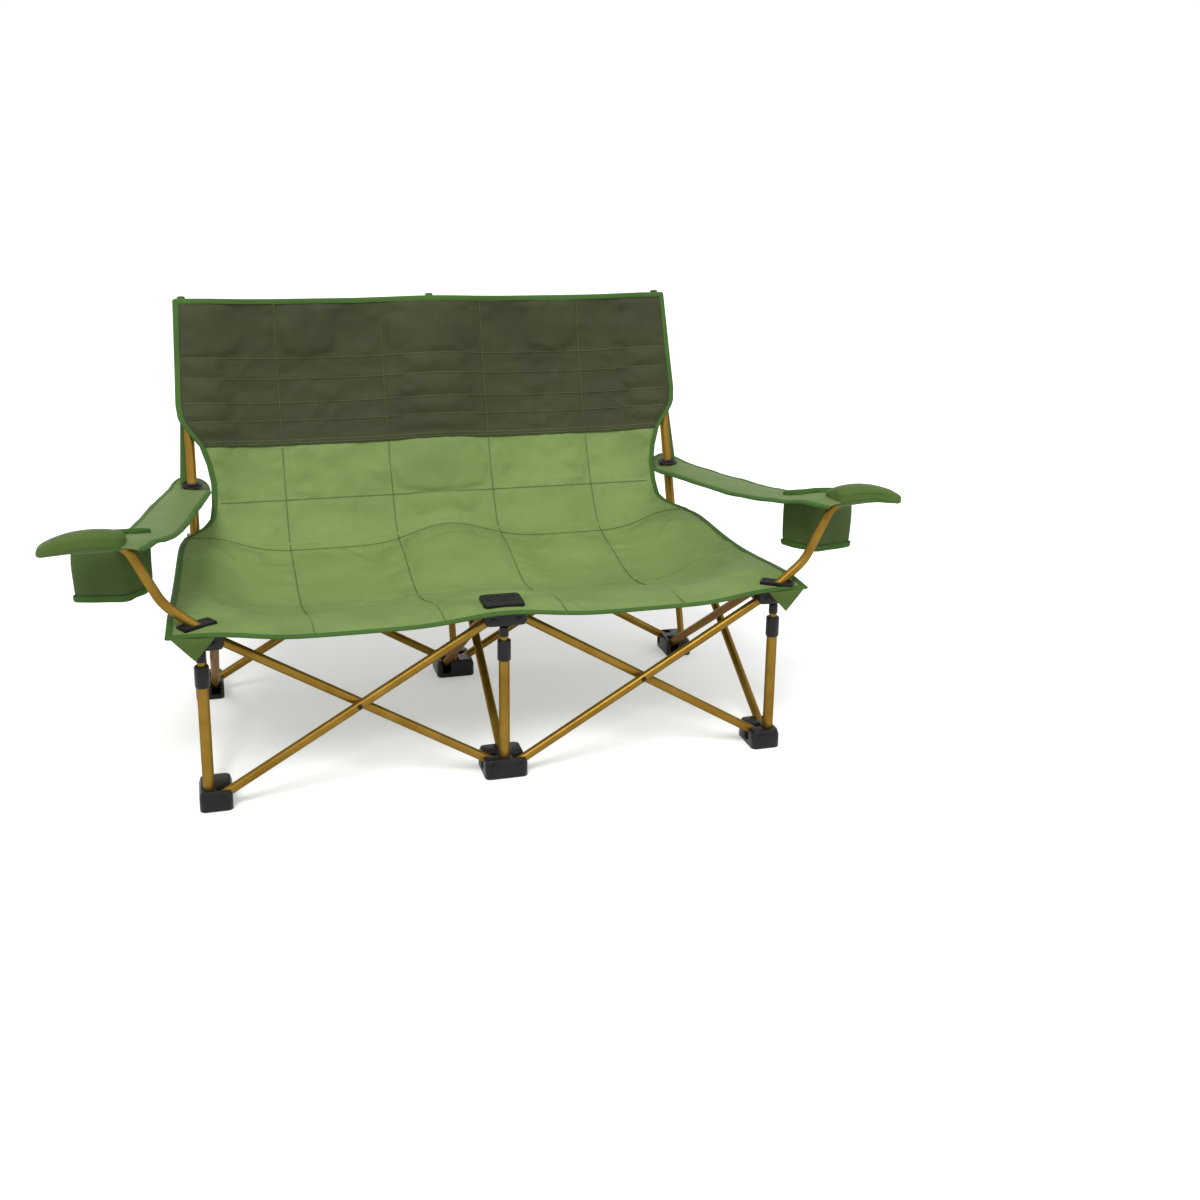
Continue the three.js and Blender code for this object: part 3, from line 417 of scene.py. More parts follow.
for label, side in SIDES.items():
    key = SHORT[label]
    post, stage, rod = ([spot(side * BAY, 0, z) for z in ends] for ends in (POST_ENDS, STAGE_ENDS, ROD_ENDS))
    bronze_tube(f"post_{label}", f"post_front_{label}", FRONT_BODY[label], *post, POST_R)
    bronze_tube(f"stage_{label}", f"post_stage_front_{label}", f"stage_f{key}", *stage, STAGE_R)
    steel_rod = straight_tube(f"rod_{label}", *rod, ROD_R, ROD_WALL)
    dress(steel_rod, f"hub_f{key}", STEEL, "rod_steel", f"post_rod_front_{label}")
    stem = along_upright(side, -TUBE_END), along_upright(side, STEM_END)
    bronze_tube(f"stem_{label}", f"upright_stem_{label}", f"stem_{key}", *stem, STEM_R)
    upper = along_upright(side, UPRIGHT_START), along_upright(side, UPRIGHT_END)
    bronze_tube(f"upright_{label}", f"upright_tube_{label}", f"upright_{key}", *upper,
                UPRIGHT_R, UPRIGHT_WALL)
    print("upright", label, "ends at", [round(c, 4) for c in upper[1]])


# %% [markdown]
# The arm tubes are bent. By hand that is a circle, extruded along each straight leg and spun round
# the centre of each bend. The bend's centre lies square to the leg, on the side that the tube turns to.

# %% Bent arm tubes
ARM_LOW_BEND, ARM_HIGH_BEND, ARM_TIP = (553, 357), (604, 461), (703, 467.2)
ARM_RADII = (110, 88, 38)
BEND_STEPS = 10
TUBE_JOIN = 0.01


def push(vector):
    bpy.ops.mesh.extrude_region_move(TRANSFORM_OT_translate={"value": vector})


def heal(piece, reach):
    """Merges points that lie within reach of each other, in mm, and turns all faces outwards."""
    edit_all(piece)
    bpy.ops.mesh.remove_doubles(threshold=reach * MM)
    bpy.ops.mesh.normals_make_consistent(inside=False)
    leave_edit()
    return piece


def arm_tube(label, side):
    y = -side * FRONT_PLANE
    foot = spot(side * PIVOT_SIDE, y, FOOT_Z)
    hub = spot(side * (BAY - PIVOT_SIDE), y, HUB_Z)
    low, high, tip = (spot(side * x, y, z) for x, z in (ARM_LOW_BEND, ARM_HIGH_BEND, ARM_TIP))
    corners = [foot, hub, low, high, tip]
    legs = [(b - a).normalized() for a, b in zip(corners, corners[1:])]
    start = foot - legs[0] * TUBE_END * MM
    clear_selection()
    turn = legs[0].to_track_quat("Z", "Y").to_euler()
    bpy.ops.mesh.primitive_circle_add(
        vertices=TUBE_SIDES, radius=TUBE_R * MM, location=start, rotation=turn)
    tube = fresh(f"arm_{label}")
    edit_all(tube)
    here = start
    for corner, radius, into, out in zip(corners[1:], ARM_RADII, legs, legs[1:]):
        turn = into.angle(out)
        reach = radius * MM * math.tan(turn / 2)
        bend_start = corner - into * reach
        push(bend_start - here)
        axis = into.cross(out).normalized()
        center = bend_start + axis.cross(into) * radius * MM
        bpy.ops.mesh.spin(steps=BEND_STEPS, angle=-turn, center=center, axis=axis)
        here = corner + out * reach
    push(tip - here)
    bpy.ops.mesh.edge_face_add()
    heal(tube, TUBE_JOIN)
    smooth(TUBE_SMOOTH)
    return dress(tube, f"arm_{SHORT[label]}", BRONZE, "frame_bronze", f"arm_tube_{label}")


for label, side in CORNERS.items():
    tube = arm_tube(label, side)
    far = max(tube.data.vertices, key=lambda v: abs(v.co.x)).co
    print("arm", label, "ends at", [round(c, 4) for c in far])


# %% [markdown]
# ## Mouldings
# The feet, hubs, collars, eyelets and seat mouldings already have their real shape in the frame. A copy of
# each is merged, its flat facets are dissolved, and a small bevel takes off the sharp edges that no
# moulding has. Soles are rounded more.

# %% Moulded copies
SOLE_LEVEL, SOLE_ROUND = 0.5, 7
MOULD_JOIN, FLAT_ANGLE = 0.02, 3
SHARP_ANGLE, MOULD_SMOOTH = 35, 38


def copied(name, mesh):
    """A new piece with a copy of a mesh, picked up."""
    piece = bpy.data.objects.new(name, mesh.copy())
    bpy.context.scene.collection.objects.link(piece)
    return pick_up(piece)


def round_edges(piece, width, segments, degrees):
    """Bevels the edges that are sharper than an angle."""
    modify(piece, "BEVEL", width=width * MM, segments=segments, limit_method="ANGLE",
           angle_limit=math.radians(degrees))


def moulded(node, body, width=1.2):
    piece = copied("moulded_" + node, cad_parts[node].data)
    edit_all(piece)
    bpy.ops.mesh.remove_doubles(threshold=MOULD_JOIN * MM)
    bpy.ops.mesh.dissolve_limited(angle_limit=math.radians(FLAT_ANGLE))
    leave_edit()
    sole = [vertex.index for vertex in piece.data.vertices if vertex.co.z < SOLE_LEVEL * MM]
    if sole:
        piece.vertex_groups.new(name="sole").add(sole, 1.0, "REPLACE")
        modify(piece, "BEVEL", width=SOLE_ROUND * MM, segments=4, limit_method="VGROUP", vertex_group="sole")
    round_edges(piece, width, 2, SHARP_ANGLE)
    smooth(MOULD_SMOOTH)
    return dress(piece, body, BLACK, "moulded_black", node)


for label in SIDES:
    key = SHORT[label]
    moulded(f"foot_front_{label}", FRONT_BODY[label])
    moulded(f"post_collar_front_{label}", FRONT_BODY[label], 0.8)
    moulded(f"stage_collar_front_{label}", f"stage_f{key}", 0.6)
    moulded(f"hub_front_{label}", f"hub_f{key}")
    moulded(f"hub_rear_{label}", f"hub_r{key}")
    moulded(f"foot_rear_{label}", f"foot_r{key}")
for label in CORNERS:
    moulded(f"arm_eyelet_{label}", f"upright_{SHORT[label]}", 1.0)
moulded("seat_plate_center", "hub_fc", 2.0)


# %% [markdown]
# The corner patches are sewn on at a slant. Their copies are turned in plan round the place where the
# tube comes through, and trimmed a little. Each point keeps its height, so that the patch still lies on the
# cloth as it did.

# %% Corner patches
PATCH_TURN, PATCH_TRIM = math.radians(32), 0.78
PATCH_X, PATCH_BEHIND = 503, 4


def turned_patch(place, label, side):
    """A place on the straight patch, brought to where it lies on the turned one."""
    low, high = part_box(f"seat_patch_{label}")
    offset = (place - (low + high) / 2) * PATCH_TRIM
    turn = -side * PATCH_TURN
    middle = spot(side * PATCH_X, PATCH_BEHIND - side * FRONT_PLANE, 0)
    x = offset.x * math.cos(turn) - offset.y * math.sin(turn)
    y = offset.x * math.sin(turn) + offset.y * math.cos(turn)
    return Vector((middle.x + x, middle.y + y, place.z))


for label, side in CORNERS.items():
    patch = moulded(f"seat_patch_{label}", f"hub_f{SHORT[label]}", 2.0)
    for vertex in patch.data.vertices:
        vertex.co = turned_patch(vertex.co, label, side)
    print(patch.name, "turned by", round(math.degrees(PATCH_TURN)), "degrees")


# %% [markdown]
# Rivets hold the crossings and the pivots. A head is a short cylinder whose outer rim is bevelled to a
# dome, which keeps it low and flat underneath, where a half sphere would stand too tall. The heads that one
# body carries are joined.

# %% Rivet heads
HEAD_R, HEAD_HEIGHT, HEAD_SIDES = 4.6, 2.2, 24
HEAD_DOME, HEAD_SMOOTH, HEAD_SUNK = 0.7, 50, 0.4
FORWARD = Vector((0, -1, 0))
CROSS_Y, CROSS_Z = HEAD_SUNK - FRONT_PLANE - TUBE_R, (FOOT_Z + HUB_Z) / 2
RIVET_Y = -24.2


def rivet_head(name, place):
    clear_selection()
    bpy.ops.mesh.primitive_cylinder_add(
        vertices=HEAD_SIDES, radius=HEAD_R * MM, depth=HEAD_HEIGHT * MM,
        location=place + FORWARD * HEAD_HEIGHT / 2 * MM, rotation=FORWARD.to_track_quat("Z", "Y").to_euler())
    head = fresh(name)
    select_faces(head, lambda face: face.normal.dot(FORWARD) > 0.9)
    bpy.ops.mesh.bevel(offset=HEAD_HEIGHT * HEAD_DOME * MM, segments=4, affect="EDGES")
    leave_edit()
    smooth(HEAD_SMOOTH)
    return head


def joined(name, pieces):
    clear_selection()
    for piece in pieces:
        piece.select_set(True)
    bpy.context.view_layer.objects.active = pieces[0]
    bpy.ops.object.join()
    return named(name)


def rivets(name, body, *places):
    heads = [rivet_head(f"{name}_{i}", spot(*place)) for i, place in enumerate(places)]
    return dress(joined(name, heads), body, BLACK, "moulded_black")


for label, side in CORNERS.items():
    key = SHORT[label]
    carrier = f"brace_f{key}" if side < 0 else f"arm_{key}"
    rivets(f"rivet_front_{label}", carrier, (side * BAY / 2, CROSS_Y, CROSS_Z))
    pivot_x = side * (BAY - PIVOT_SIDE)
    rivets(f"rivet_foot_{label}", FRONT_BODY[label], (pivot_x, RIVET_Y, FOOT_Z))
    rivets(f"rivet_hub_{label}", f"hub_f{key}", (pivot_x, RIVET_Y, HUB_Z))
for name, body, z in (("rivet_foot_center", "base", FOOT_Z), ("rivet_hub_center", "hub_fc", HUB_Z)):
    rivets(name, body, (-PIVOT_SIDE, RIVET_Y, z), (PIVOT_SIDE, RIVET_Y, z))


# %% [markdown]
# ## The sling
# Seat and back are one long quilt. Its side view is a smooth curve through nine places, drawn at the posts,
# where the hubs and uprights carry it, in the middle of a bay, where it hangs free, and at the taut side
# edge. Across the width the shape swings between them, so each bay gets its own hollow.

# %% Curves of the sling
UPRIGHT_LINE = [(586.6, 367.4), (624.8, 477), (672.8, 614.8), (722, 756.5)]
AT_POST = [(-34, 310), (60, 311.5), (275, 257), (470, 311.5), (550, 314)] + UPRIGHT_LINE
MID_BAY = [(-34, 297), (70, 291), (275, 247), (440, 268), (532, 292), (594, 364.7),
           (649, 468.6), (702, 604.6), (735.7, 751.7)]
SIDE_EDGE = [(-34, 312), (60, 315), (275, 302), (470, 311.5), (550, 316)] + UPRIGHT_LINE
HALF_WIDTH = [(0, 550), (1, 547), (2, 539), (3, 529), (3.8, 519), (4, 506), (4.25, 484), (4.6, 467),
              (5, 462), (5.4, 461), (5.7, 467), (6, 479), (6.17, 496), (6.3, 509), (6.4, 517), (6.6, 520),
              (7, 518), (8, 514)]


def catmull(points, t):
    """A smooth curve through points, at a place t counted in points."""
    last = len(points) - 1
    first = min(max(int(math.floor(t)), 0), last - 1)
    share = t - first
    p1, p2 = points[first], points[first + 1]
    p0 = points[first - 1] if first > 0 else tuple(2 * a - b for a, b in zip(p1, p2))
    p3 = points[first + 2] if first + 2 <= last else tuple(2 * b - a for a, b in zip(p1, p2))
    out = []
    for a, b, c, d in zip(p0, p1, p2, p3):
        curve = 2 * b + (c - a) * share + (2 * a - 5 * b + 4 * c - d) * share ** 2
        out.append(0.5 * (curve + (3 * b - a - 3 * c + d) * share ** 3))
    return out


def table(rows, at):
    for (low, start), (high, end) in zip(rows, rows[1:]):
        if at <= high:
            return start + (end - start) * (at - low) / (high - low)
    return rows[-1][1]


print("curves of the sling have", len(AT_POST), "places each")


# %% [markdown]
# A place on the sling is given by x, in millimetres, and by t, which counts the nine places from the front of
# the seat to the top of the back. At a post the first curve holds, half way between posts the second, and
# towards the edge the third takes over. The cloth could be sculpted too, but with a formula the binding, the
# stitches and the hem can be laid on the same surface.

# %% Shape of the sling
FRONT_HALF, TAUT_START = 550, 300
CORNER_BACK = 4
POST_SHARPNESS = 2.5
SLOPE_X, SLOPE_T = 4, 0.03


def mix(start, end, share):
    return [a + (b - a) * share for a, b in zip(start, end)]


def sling(x, t):
    post, bay, edge = (catmull(line, t) for line in (AT_POST, MID_BAY, SIDE_EDGE))
    taut = min(1, max(0, (abs(x) - TAUT_START) / (FRONT_HALF - TAUT_START)))
    taut = taut * taut * (3 - 2 * taut)
    near_post = math.cos(math.pi * x / BAY) ** 2 if abs(x) < BAY else 1
    free = 1 - near_post ** POST_SHARPNESS
    y, z = mix(mix(post, edge, taut), mix(bay, edge, taut ** 3), free)
    inward = CORNER_BACK * (x / FRONT_HALF) ** 2 * max(0, 1 - t) ** 2
    return spot(x, y + inward, z)


def sling_normal(x, t):
    across = sling(x + SLOPE_X, t) - sling(x - SLOPE_X, t)
    along = sling(x, t + SLOPE_T) - sling(x, t - SLOPE_T)
    return across.cross(along).normalized()


def above_sling(x, t, lift):
    return sling(x, t) + sling_normal(x, t) * lift * MM


def half_width(t):
    return table(HALF_WIDTH, t)


print("seat in the middle of a bay:", round(sling(BAY / 2, 2).z, 4), "m above the floor")


# %% [markdown]
# Each quilt is a grid primitive laid onto that shape, so that stitched columns and rows fall on grid lines.
# The stitches and the rim go into a vertex group, which holds them still when the rest is blown up. Solidify
# makes the grid two layers, with room for the wadding between them.

# %% Quilted panels
CELL = 9
HALF_COLUMNS = 60
SEAM_COLUMNS, SEAM_X = (12, 36), (105, 320)
STITCH_COLUMNS = ((0, 0), *zip(SEAM_COLUMNS, SEAM_X))
PINNED_COLUMNS = (*SEAM_COLUMNS, HALF_COLUMNS - 1, HALF_COLUMNS)
LAYERS = 5


def column_x(column, t):
    knots = STITCH_COLUMNS + ((HALF_COLUMNS, half_width(t)),)
    return math.copysign(table(knots, abs(column)), column)


def spread(start, end, steps):
    """Even values from start to end."""
    return [start + (end - start) * i / steps for i in range(steps + 1)]


def row_places(seams):
    rows = [seams[0]]
    for low, high in zip(seams, seams[1:]):
        length = (sling(BAY / 2, high) - sling(BAY / 2, low)).length / MM
        rows += spread(low, high, max(2, round(length / CELL)))[1:]
    return rows


def quilt(name, seams, pinned_rows, held=lambda x, t: False):
    rows = row_places(seams)
    last = len(rows) - 1
    clear_selection()
    bpy.ops.mesh.primitive_grid_add(x_subdivisions=2 * HALF_COLUMNS, y_subdivisions=last, size=2)
    panel = named(name)
    stitched = panel.vertex_groups.new(name="stitched")
    for vertex in panel.data.vertices:
        column = round(vertex.co.x * HALF_COLUMNS)
        row = round((vertex.co.y + 1) / 2 * last)
        t = rows[row]
        x = column_x(column, t)
        vertex.co = sling(x, t)
        on_column = abs(column) in PINNED_COLUMNS
        on_rim = row in (0, 1, last - 1, last)
        on_row = any(abs(t - seam) < 1e-6 for seam in pinned_rows)
        if on_column or on_rim or on_row or held(x, t):
            stitched.add([vertex.index], 1.0, "REPLACE")
    modify(panel, "SOLIDIFY", thickness=LAYERS * MM, offset=0)
    return panel


# %% [markdown]
# Sewn cloth is never quite even: the thread gathers it along each seam, and wide soft folds run across it. A
# cloth simulation fine enough for such gathers would take very long, so smooth noise moves each point a
# little along its normal instead, most of all near the seams.

# %% Gathers and folds
PUCKER, PUCKER_REACH, DRAG = 1.4, 20, 2.4
LANE = 5
COLUMN_GATHER, ROW_GATHER, GATHER_DRIFT = 13, 14, 0.012
FOLD_X, FOLD_SLANT, FOLD_LENGTH = 70, 160, 55
COLUMN_FREE, ROW_FREE, NO_ROW = 10, 8, 1000


def pucker(panel, rows):
    """Small gathers square to each seam, and broad soft folds across the cloth."""
    levels = {}
    normals = [vertex.normal.copy() for vertex in panel.data.vertices]
    for vertex, normal in zip(panel.data.vertices, normals):
        x, z = vertex.co.x / MM, vertex.co.z / MM
        along = vertex.co.y / MM + z
        lane = round(x / LANE)
        if lane not in levels:
            levels[lane] = [sling(lane * LANE, t).z / MM for t in rows]
        column = min(abs(abs(x) - seam) for seam in SEAM_X)
        row = min((abs(z - height) for height in levels[lane]), default=NO_ROW)
        by_column = noise.noise(Vector((x * GATHER_DRIFT, along / COLUMN_GATHER, 0)))
        by_row = noise.noise(Vector((x / ROW_GATHER, z * GATHER_DRIFT, 7)))
        gather = math.exp(-column / PUCKER_REACH) * by_column
        gather += math.exp(-row / PUCKER_REACH) * by_row
        fold = noise.noise(Vector((x / FOLD_X + along / FOLD_SLANT, along / FOLD_LENGTH, 4)))
        free = min(1, column / COLUMN_FREE) * min(1, row / ROW_FREE)
        vertex.co += normal * (PUCKER * gather + DRAG * fold) * free * MM


# %% [markdown]
# The wadding is a Cloth modifier with pressure inside, run for twenty frames with the stitched points pinned.
# A soft cap then keeps each point near its start, so that the panel swells between its seams and still has
# the shape that was drawn.

# %% Wadding
SWELL = {"quality": 5, "mass": 0.15, "vertex_group_mass": "stitched", "use_pressure": True,
         "shrink_min": -0.04, "tension_stiffness": 8, "compression_stiffness": 8, "bending_stiffness": 0.3}
SWELL_FRAMES = 20


def subdivide(piece):
    modify(piece, "SUBSURF", levels=1, render_levels=1)


def puff(panel, pressure=0.7, cap=5.0, rows=(), pinch=0):
    """Swells the panel with cloth, and keeps each point within a soft cap of where it was."""
    before = [vertex.co.copy() for vertex in panel.data.vertices]
    pick_up(panel)
    swell = panel.modifiers.new("Swell", "CLOTH")
    set_all(swell.settings, SWELL)
    swell.settings.uniform_pressure_force = pressure
    swell.settings.effector_weights.gravity = 0
    scene = bpy.context.scene
    for number in range(1, SWELL_FRAMES + 1):
        scene.frame_set(number)
    bpy.ops.object.modifier_apply(modifier=swell.name)
    scene.frame_set(1)
    for vertex, start in zip(panel.data.vertices, before):
        move = vertex.co - start
        far = move.length / MM
        if far > 1e-6:
            vertex.co = start + move * (cap * math.tanh(far / cap) / far)
    normals = [vertex.normal.copy() for vertex in panel.data.vertices]
    for vertex, normal in zip(panel.data.vertices, normals):
        if vertex.groups:
            vertex.co -= normal * pinch * MM
    subdivide(panel)
    pucker(panel, rows)
    pick_up(panel)
    bpy.ops.object.shade_smooth()
    return panel


# %% [markdown]
# Seat and back are each blown up whole and cut afterwards, so that the halves meet without a gap: the seat
# folds along its middle, and the back changes cloth at its seam. The seat is held down over the hubs.

# %% Seat and back
SQUEEZE, PINCH = 0.28, 1.7
HUB_REACH, CORNER_SHIFT = 46, 8
FRONT_HELD, REAR_HELD, REAR_HELD_END = 0.95, 2.95, 4.0
SEAT_FOLD, BACK_SEAM = 2, 6
HEM_TOP = 6.1
BACK_LINES = (6.348, 6.602, 6.929, 7.213)
SEAT_SEAM = 3.72
SEAT_ROWS = (0, 1, 2, 3, SEAT_SEAM, 4)
BACK_ROWS = (3.93, 4, 5, BACK_SEAM, HEM_TOP) + BACK_LINES + (8,)
CUT_STEP = 0.02


def fold_sideways(piece):
    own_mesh(piece)
    return piece


def on_hub(x, t):
    near = min(abs(abs(x) - BAY) - CORNER_SHIFT, abs(x)) < HUB_REACH
    return near and (t < FRONT_HELD or REAR_HELD < t < REAR_HELD_END)


def cut_half(whole, name, keep_above, level):
    """A copy of the quilt with only the faces on one side of a row of the sling."""
    edit_all(copied(name, whole.data))
    along = (sling(0, level + CUT_STEP) - sling(0, level - CUT_STEP)).normalized()
    bpy.ops.mesh.bisect(plane_co=sling(0, level), plane_no=along, use_fill=True,
                        clear_inner=keep_above, clear_outer=not keep_above)
    leave_edit()
    return named(name)


def halves(whole, level, low_name, high_name):
    low = cut_half(whole, low_name, False, level)
    high = cut_half(whole, high_name, True, level)
    bpy.data.objects.remove(whole)
    return low, high


seat = puff(quilt("seat", SEAT_ROWS, (SEAT_SEAM,), on_hub), rows=(SEAT_SEAM,), pinch=PINCH)
back = puff(quilt("back", BACK_ROWS, BACK_ROWS), rows=BACK_ROWS, pinch=PINCH)
seat_front, seat_rear = halves(seat, SEAT_FOLD, "seat_front", "seat_rear")
back_lower, back_upper = halves(back, BACK_SEAM, "back_lower", "back_upper")
dress(seat_front, "seat_front", LEAF, "cloth_green", "seat_panel_front")
dress(seat_rear, "seat_rear", LEAF, "cloth_green", "seat_panel_rear")
dress(back_lower, "upright_c", LEAF, "cloth_green", "back_panel")
dress(back_upper, "upright_c", OLIVE, "cloth_olive", "back_panel")
for panel in (seat_front, seat_rear, back_lower, back_upper):
    fold_sideways(panel)
    print(panel.name, len(panel.data.polygons), "faces")


# %% [markdown]
# Most trims and small cloths are made alike: a grid primitive is added, each of its points is laid on the
# shape that it follows, and Solidify gives the cloth its thickness. A grid has even, four-sided faces, which
# bend and shade well.

# %% A grid laid on a shape
SHEET_SMOOTH = 60


def laid_grid(name, across, along, place, thickness=0):
    """A grid of so many points each way, whose point (i, j) goes to place(i, j)."""
    clear_selection()
    bpy.ops.mesh.primitive_grid_add(x_subdivisions=across - 1, y_subdivisions=along - 1, size=2)
    sheet = named(name)
    for vertex in sheet.data.vertices:
        i = round((vertex.co.x + 1) / 2 * (across - 1))
        j = round((vertex.co.y + 1) / 2 * (along - 1))
        vertex.co = place(i, j)
    if thickness:
        modify(sheet, "SOLIDIFY", thickness=thickness * MM, offset=0)
    edit_all(sheet)
    bpy.ops.mesh.normals_make_consistent(inside=False)
    leave_edit()
    smooth(SHEET_SMOOTH)
    return sheet


# %% [markdown]
# Tape binds the raw edges. Its section is a narrow hook: over the top, round the edge and back underneath.
# The grid is laid along the rim, with one grid row for each point of the hook.

# %% Bindings
HOOK = [(8, 2.0), (4, 2.7), (0, 2.4), (-1.8, 1.4), (-2.3, 0), (-1.8, -1.4), (0, -2.4), (4, -2.7), (8, -2.0)]
TAPE_STEP, TAPE_THICK, INWARD_STEP = 9, 0.9, 0.05


def tape_down_side(name, side, start, end):
    steps = max(3, round((sling(0, end) - sling(0, start)).length / MM / TAPE_STEP))
    times = spread(start, end, steps)

    def place(i, j):
        inset, height = HOOK[i]
        x = side * half_width(times[j])
        return sling(x - side * inset, times[j]) + sling_normal(x, times[j]) * height * MM
    return laid_grid(name, len(HOOK), steps + 1, place, TAPE_THICK)


def tape_across(name, t, inward):
    half = half_width(t)
    steps = round(2 * half / TAPE_STEP)
    places = spread(-half, half, steps)
    inside = t + inward * INWARD_STEP

    def place(i, j):
        inset, height = HOOK[i]
        edge = sling(places[j], t)
        step = (sling(places[j], inside) - edge).normalized()
        return edge + step * inset * MM + sling_normal(places[j], inside) * height * MM
    return laid_grid(name, len(HOOK), steps + 1, place, TAPE_THICK)


EDGES = [("seat_front", "seat_front", 0, 2), ("seat_rear", "seat_rear", 2, 4),
         ("back_lower", "upright_c", 4, 6), ("back_upper", "upright_c", 6, 8)]
for label, side in CORNERS.items():
    for panel, body, start, end in EDGES:
        tape = tape_down_side(f"binding_{panel}_{label}", side, start, end)
        fold_sideways(dress(tape, body, TAPE, "cloth_green"))
for name, body, t, inward in (("front", "seat_front", 0, 1), ("top", "upright_c", 8, -1)):
    fold_sideways(dress(tape_across(f"binding_{name}", t, inward), body, TAPE, "cloth_green"))


# %% [markdown]
# Stitching is one short piece of thread, repeated along each line by an Array modifier and laid on the
# cloth by a Curve modifier, exactly as one would do it by hand.

# %% Stitch lines
STITCH_LENGTH, STITCH_PITCH, STITCH_R = 4.2, 6.0, 0.7
SEAM_STEPS, SEAM_END = 40, 0.02
ROW_STEPS, ROW_MARGIN = 90, 14


def stitches(name, places):
    curve = bpy.data.curves.new(name + "_path", "CURVE")
    curve.dimensions = "3D"
    line = curve.splines.new("POLY")
    line.points.add(len(places) - 1)
    for point, place in zip(line.points, places):
        point.co = (*place, 1)
    path = bpy.data.objects.new(name + "_path", curve)
    bpy.context.scene.collection.objects.link(path)
    clear_selection()
    bpy.ops.mesh.primitive_cylinder_add(
        vertices=6, radius=STITCH_R * MM, depth=STITCH_LENGTH * MM, rotation=(0, math.pi / 2, 0),
        location=(STITCH_LENGTH / 2 * MM, 0, 0))
    thread = fresh(name)
    length = sum((b - a).length for a, b in zip(places, places[1:]))
    modify(thread, "ARRAY", count=int(length / (STITCH_PITCH * MM)), use_relative_offset=False,
           use_constant_offset=True, constant_offset_displace=(STITCH_PITCH * MM, 0, 0))
    modify(thread, "CURVE", object=path, deform_axis="POS_X")
    bpy.data.objects.remove(path)
    return thread


def seam_down(name, x, start, end, lift):
    return stitches(name, [above_sling(x, t, lift) for t in spread(start, end, SEAM_STEPS)])


def seam_across(name, t, lift):
    half = half_width(t) - ROW_MARGIN
    return stitches(name, [above_sling(x, t, lift) for x in spread(-half, half, ROW_STEPS)])


THREAD_LIFT = 2.4
THREAD_PLACES = (*(-x for x in reversed(SEAM_X)), *SEAM_X)
ROWS = {"seat_rear": (SEAT_SEAM,), "back_lower": (5,), "back_upper": BACK_LINES}
THREADS = {"back_upper": PALE_THREAD}
for panel, body, start, end in EDGES:
    lines = [seam_down(f"line_{panel}_{x}", x, start + SEAM_END, end - SEAM_END, THREAD_LIFT)
             for x in THREAD_PLACES]
    lines += [seam_across(f"row_{panel}_{i}", t, THREAD_LIFT)
              for i, t in enumerate(ROWS.get(panel, ()))]
    thread = joined(f"thread_{panel}", lines)
    fold_sideways(dress(thread, body, THREADS.get(panel, THREAD), "cloth_green"))
    print(thread.name, "has", len(lines), "lines")


# %% [markdown]
# Where the dark cloth ends, its edge is turned under and sewn down twice. That hem is a narrow band laid
# over the seam, a little proud of the light cloth, with two rows of stitches.

# %% Hem at the seam
HEM_SECTION = [(0.0, 0.4), (0.0, 2.4), (0.3, 3.0), (0.8, 3.0), (1.0, 1.6)]
HEM_STEPS, HEM_INSET, HEM_THICK = 100, 4, 1.0
HEM_LOW = BACK_SEAM - 0.02
HEM_STITCHES, HEM_LIFT = (0.008, 0.058), 3.6


def hem_band():
    half = half_width(BACK_SEAM) - HEM_INSET
    places = spread(-half, half, HEM_STEPS)

    def place(i, j):
        share, lift = HEM_SECTION[i]
        return above_sling(places[j], HEM_LOW + (HEM_TOP - BACK_SEAM) * share, lift)
    return laid_grid("hem_band", len(HEM_SECTION), HEM_STEPS + 1, place, HEM_THICK)


fold_sideways(dress(hem_band(), "upright_c", OLIVE, "cloth_olive"))
hem_rows = [seam_across(f"hem_row_{i}", BACK_SEAM + shift, HEM_LIFT) for i, shift in enumerate(HEM_STITCHES)]
fold_sideways(dress(joined("thread_hem", hem_rows), "upright_c", PALE_THREAD, "cloth_olive"))
print("hem sewn down with", len(hem_rows), "rows")


# %% [markdown]
# ## Armrests
# Each armrest is a strip of padded cloth from the eyelet on the upright to a stuffed sleeve over the end of
# the arm tube. It follows a smooth line through a few stations: distance back, place sideways, height and
# half width. The sleeve keeps its size on the tube.

# %% Armrest strip
STRIP = [(676, 502, 407, 10), (670, 502, 405, 23), (652, 503, 400, 34), (618, 506, 397, 39),
         (590, 509, 398, 41), (430, 533, 410, 43), (250, 556, 427, 43), (110, 575, 449, 42),
         (50, 590, 463, 40), (0, 600, 470, 38), (-34, 606, 471, 30)]
STRIP_DROOP, INNER_DROOP = 4, 6
STRIP_RIPPLE, RIPPLE_X, RIPPLE_Y = 2.5, 40, 60
STRIP_THICK, STRIP_COLUMNS, STRIP_ROWS = 3.5, 13, 65
RUN_STEP = 0.01


def fold_backward(piece):
    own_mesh(piece)
    return piece


def strip_point(side, share, across, lift=0.0):
    """A place on the strip: share runs from the eyelet to the sleeve, across from -1 to 1."""
    last = len(STRIP) - 1
    y, x, z, half = catmull(STRIP, share * last)
    ahead = catmull(STRIP, min(1, share + RUN_STEP) * last)
    behind = catmull(STRIP, max(0, share - RUN_STEP) * last)
    run = Vector((ahead[1] - behind[1], ahead[0] - behind[0], 0)).normalized()
    out = Vector((-run.y, run.x, 0))
    place = Vector((x, y, z)) + out * half * across
    ripple = STRIP_RIPPLE * noise.noise(Vector((place.x / RIPPLE_X, place.y / RIPPLE_Y, side)))
    droop = STRIP_DROOP * across ** 2 + INNER_DROOP * (1 - across) / 2
    return spot(side * place.x, place.y, place.z + lift - droop + ripple)


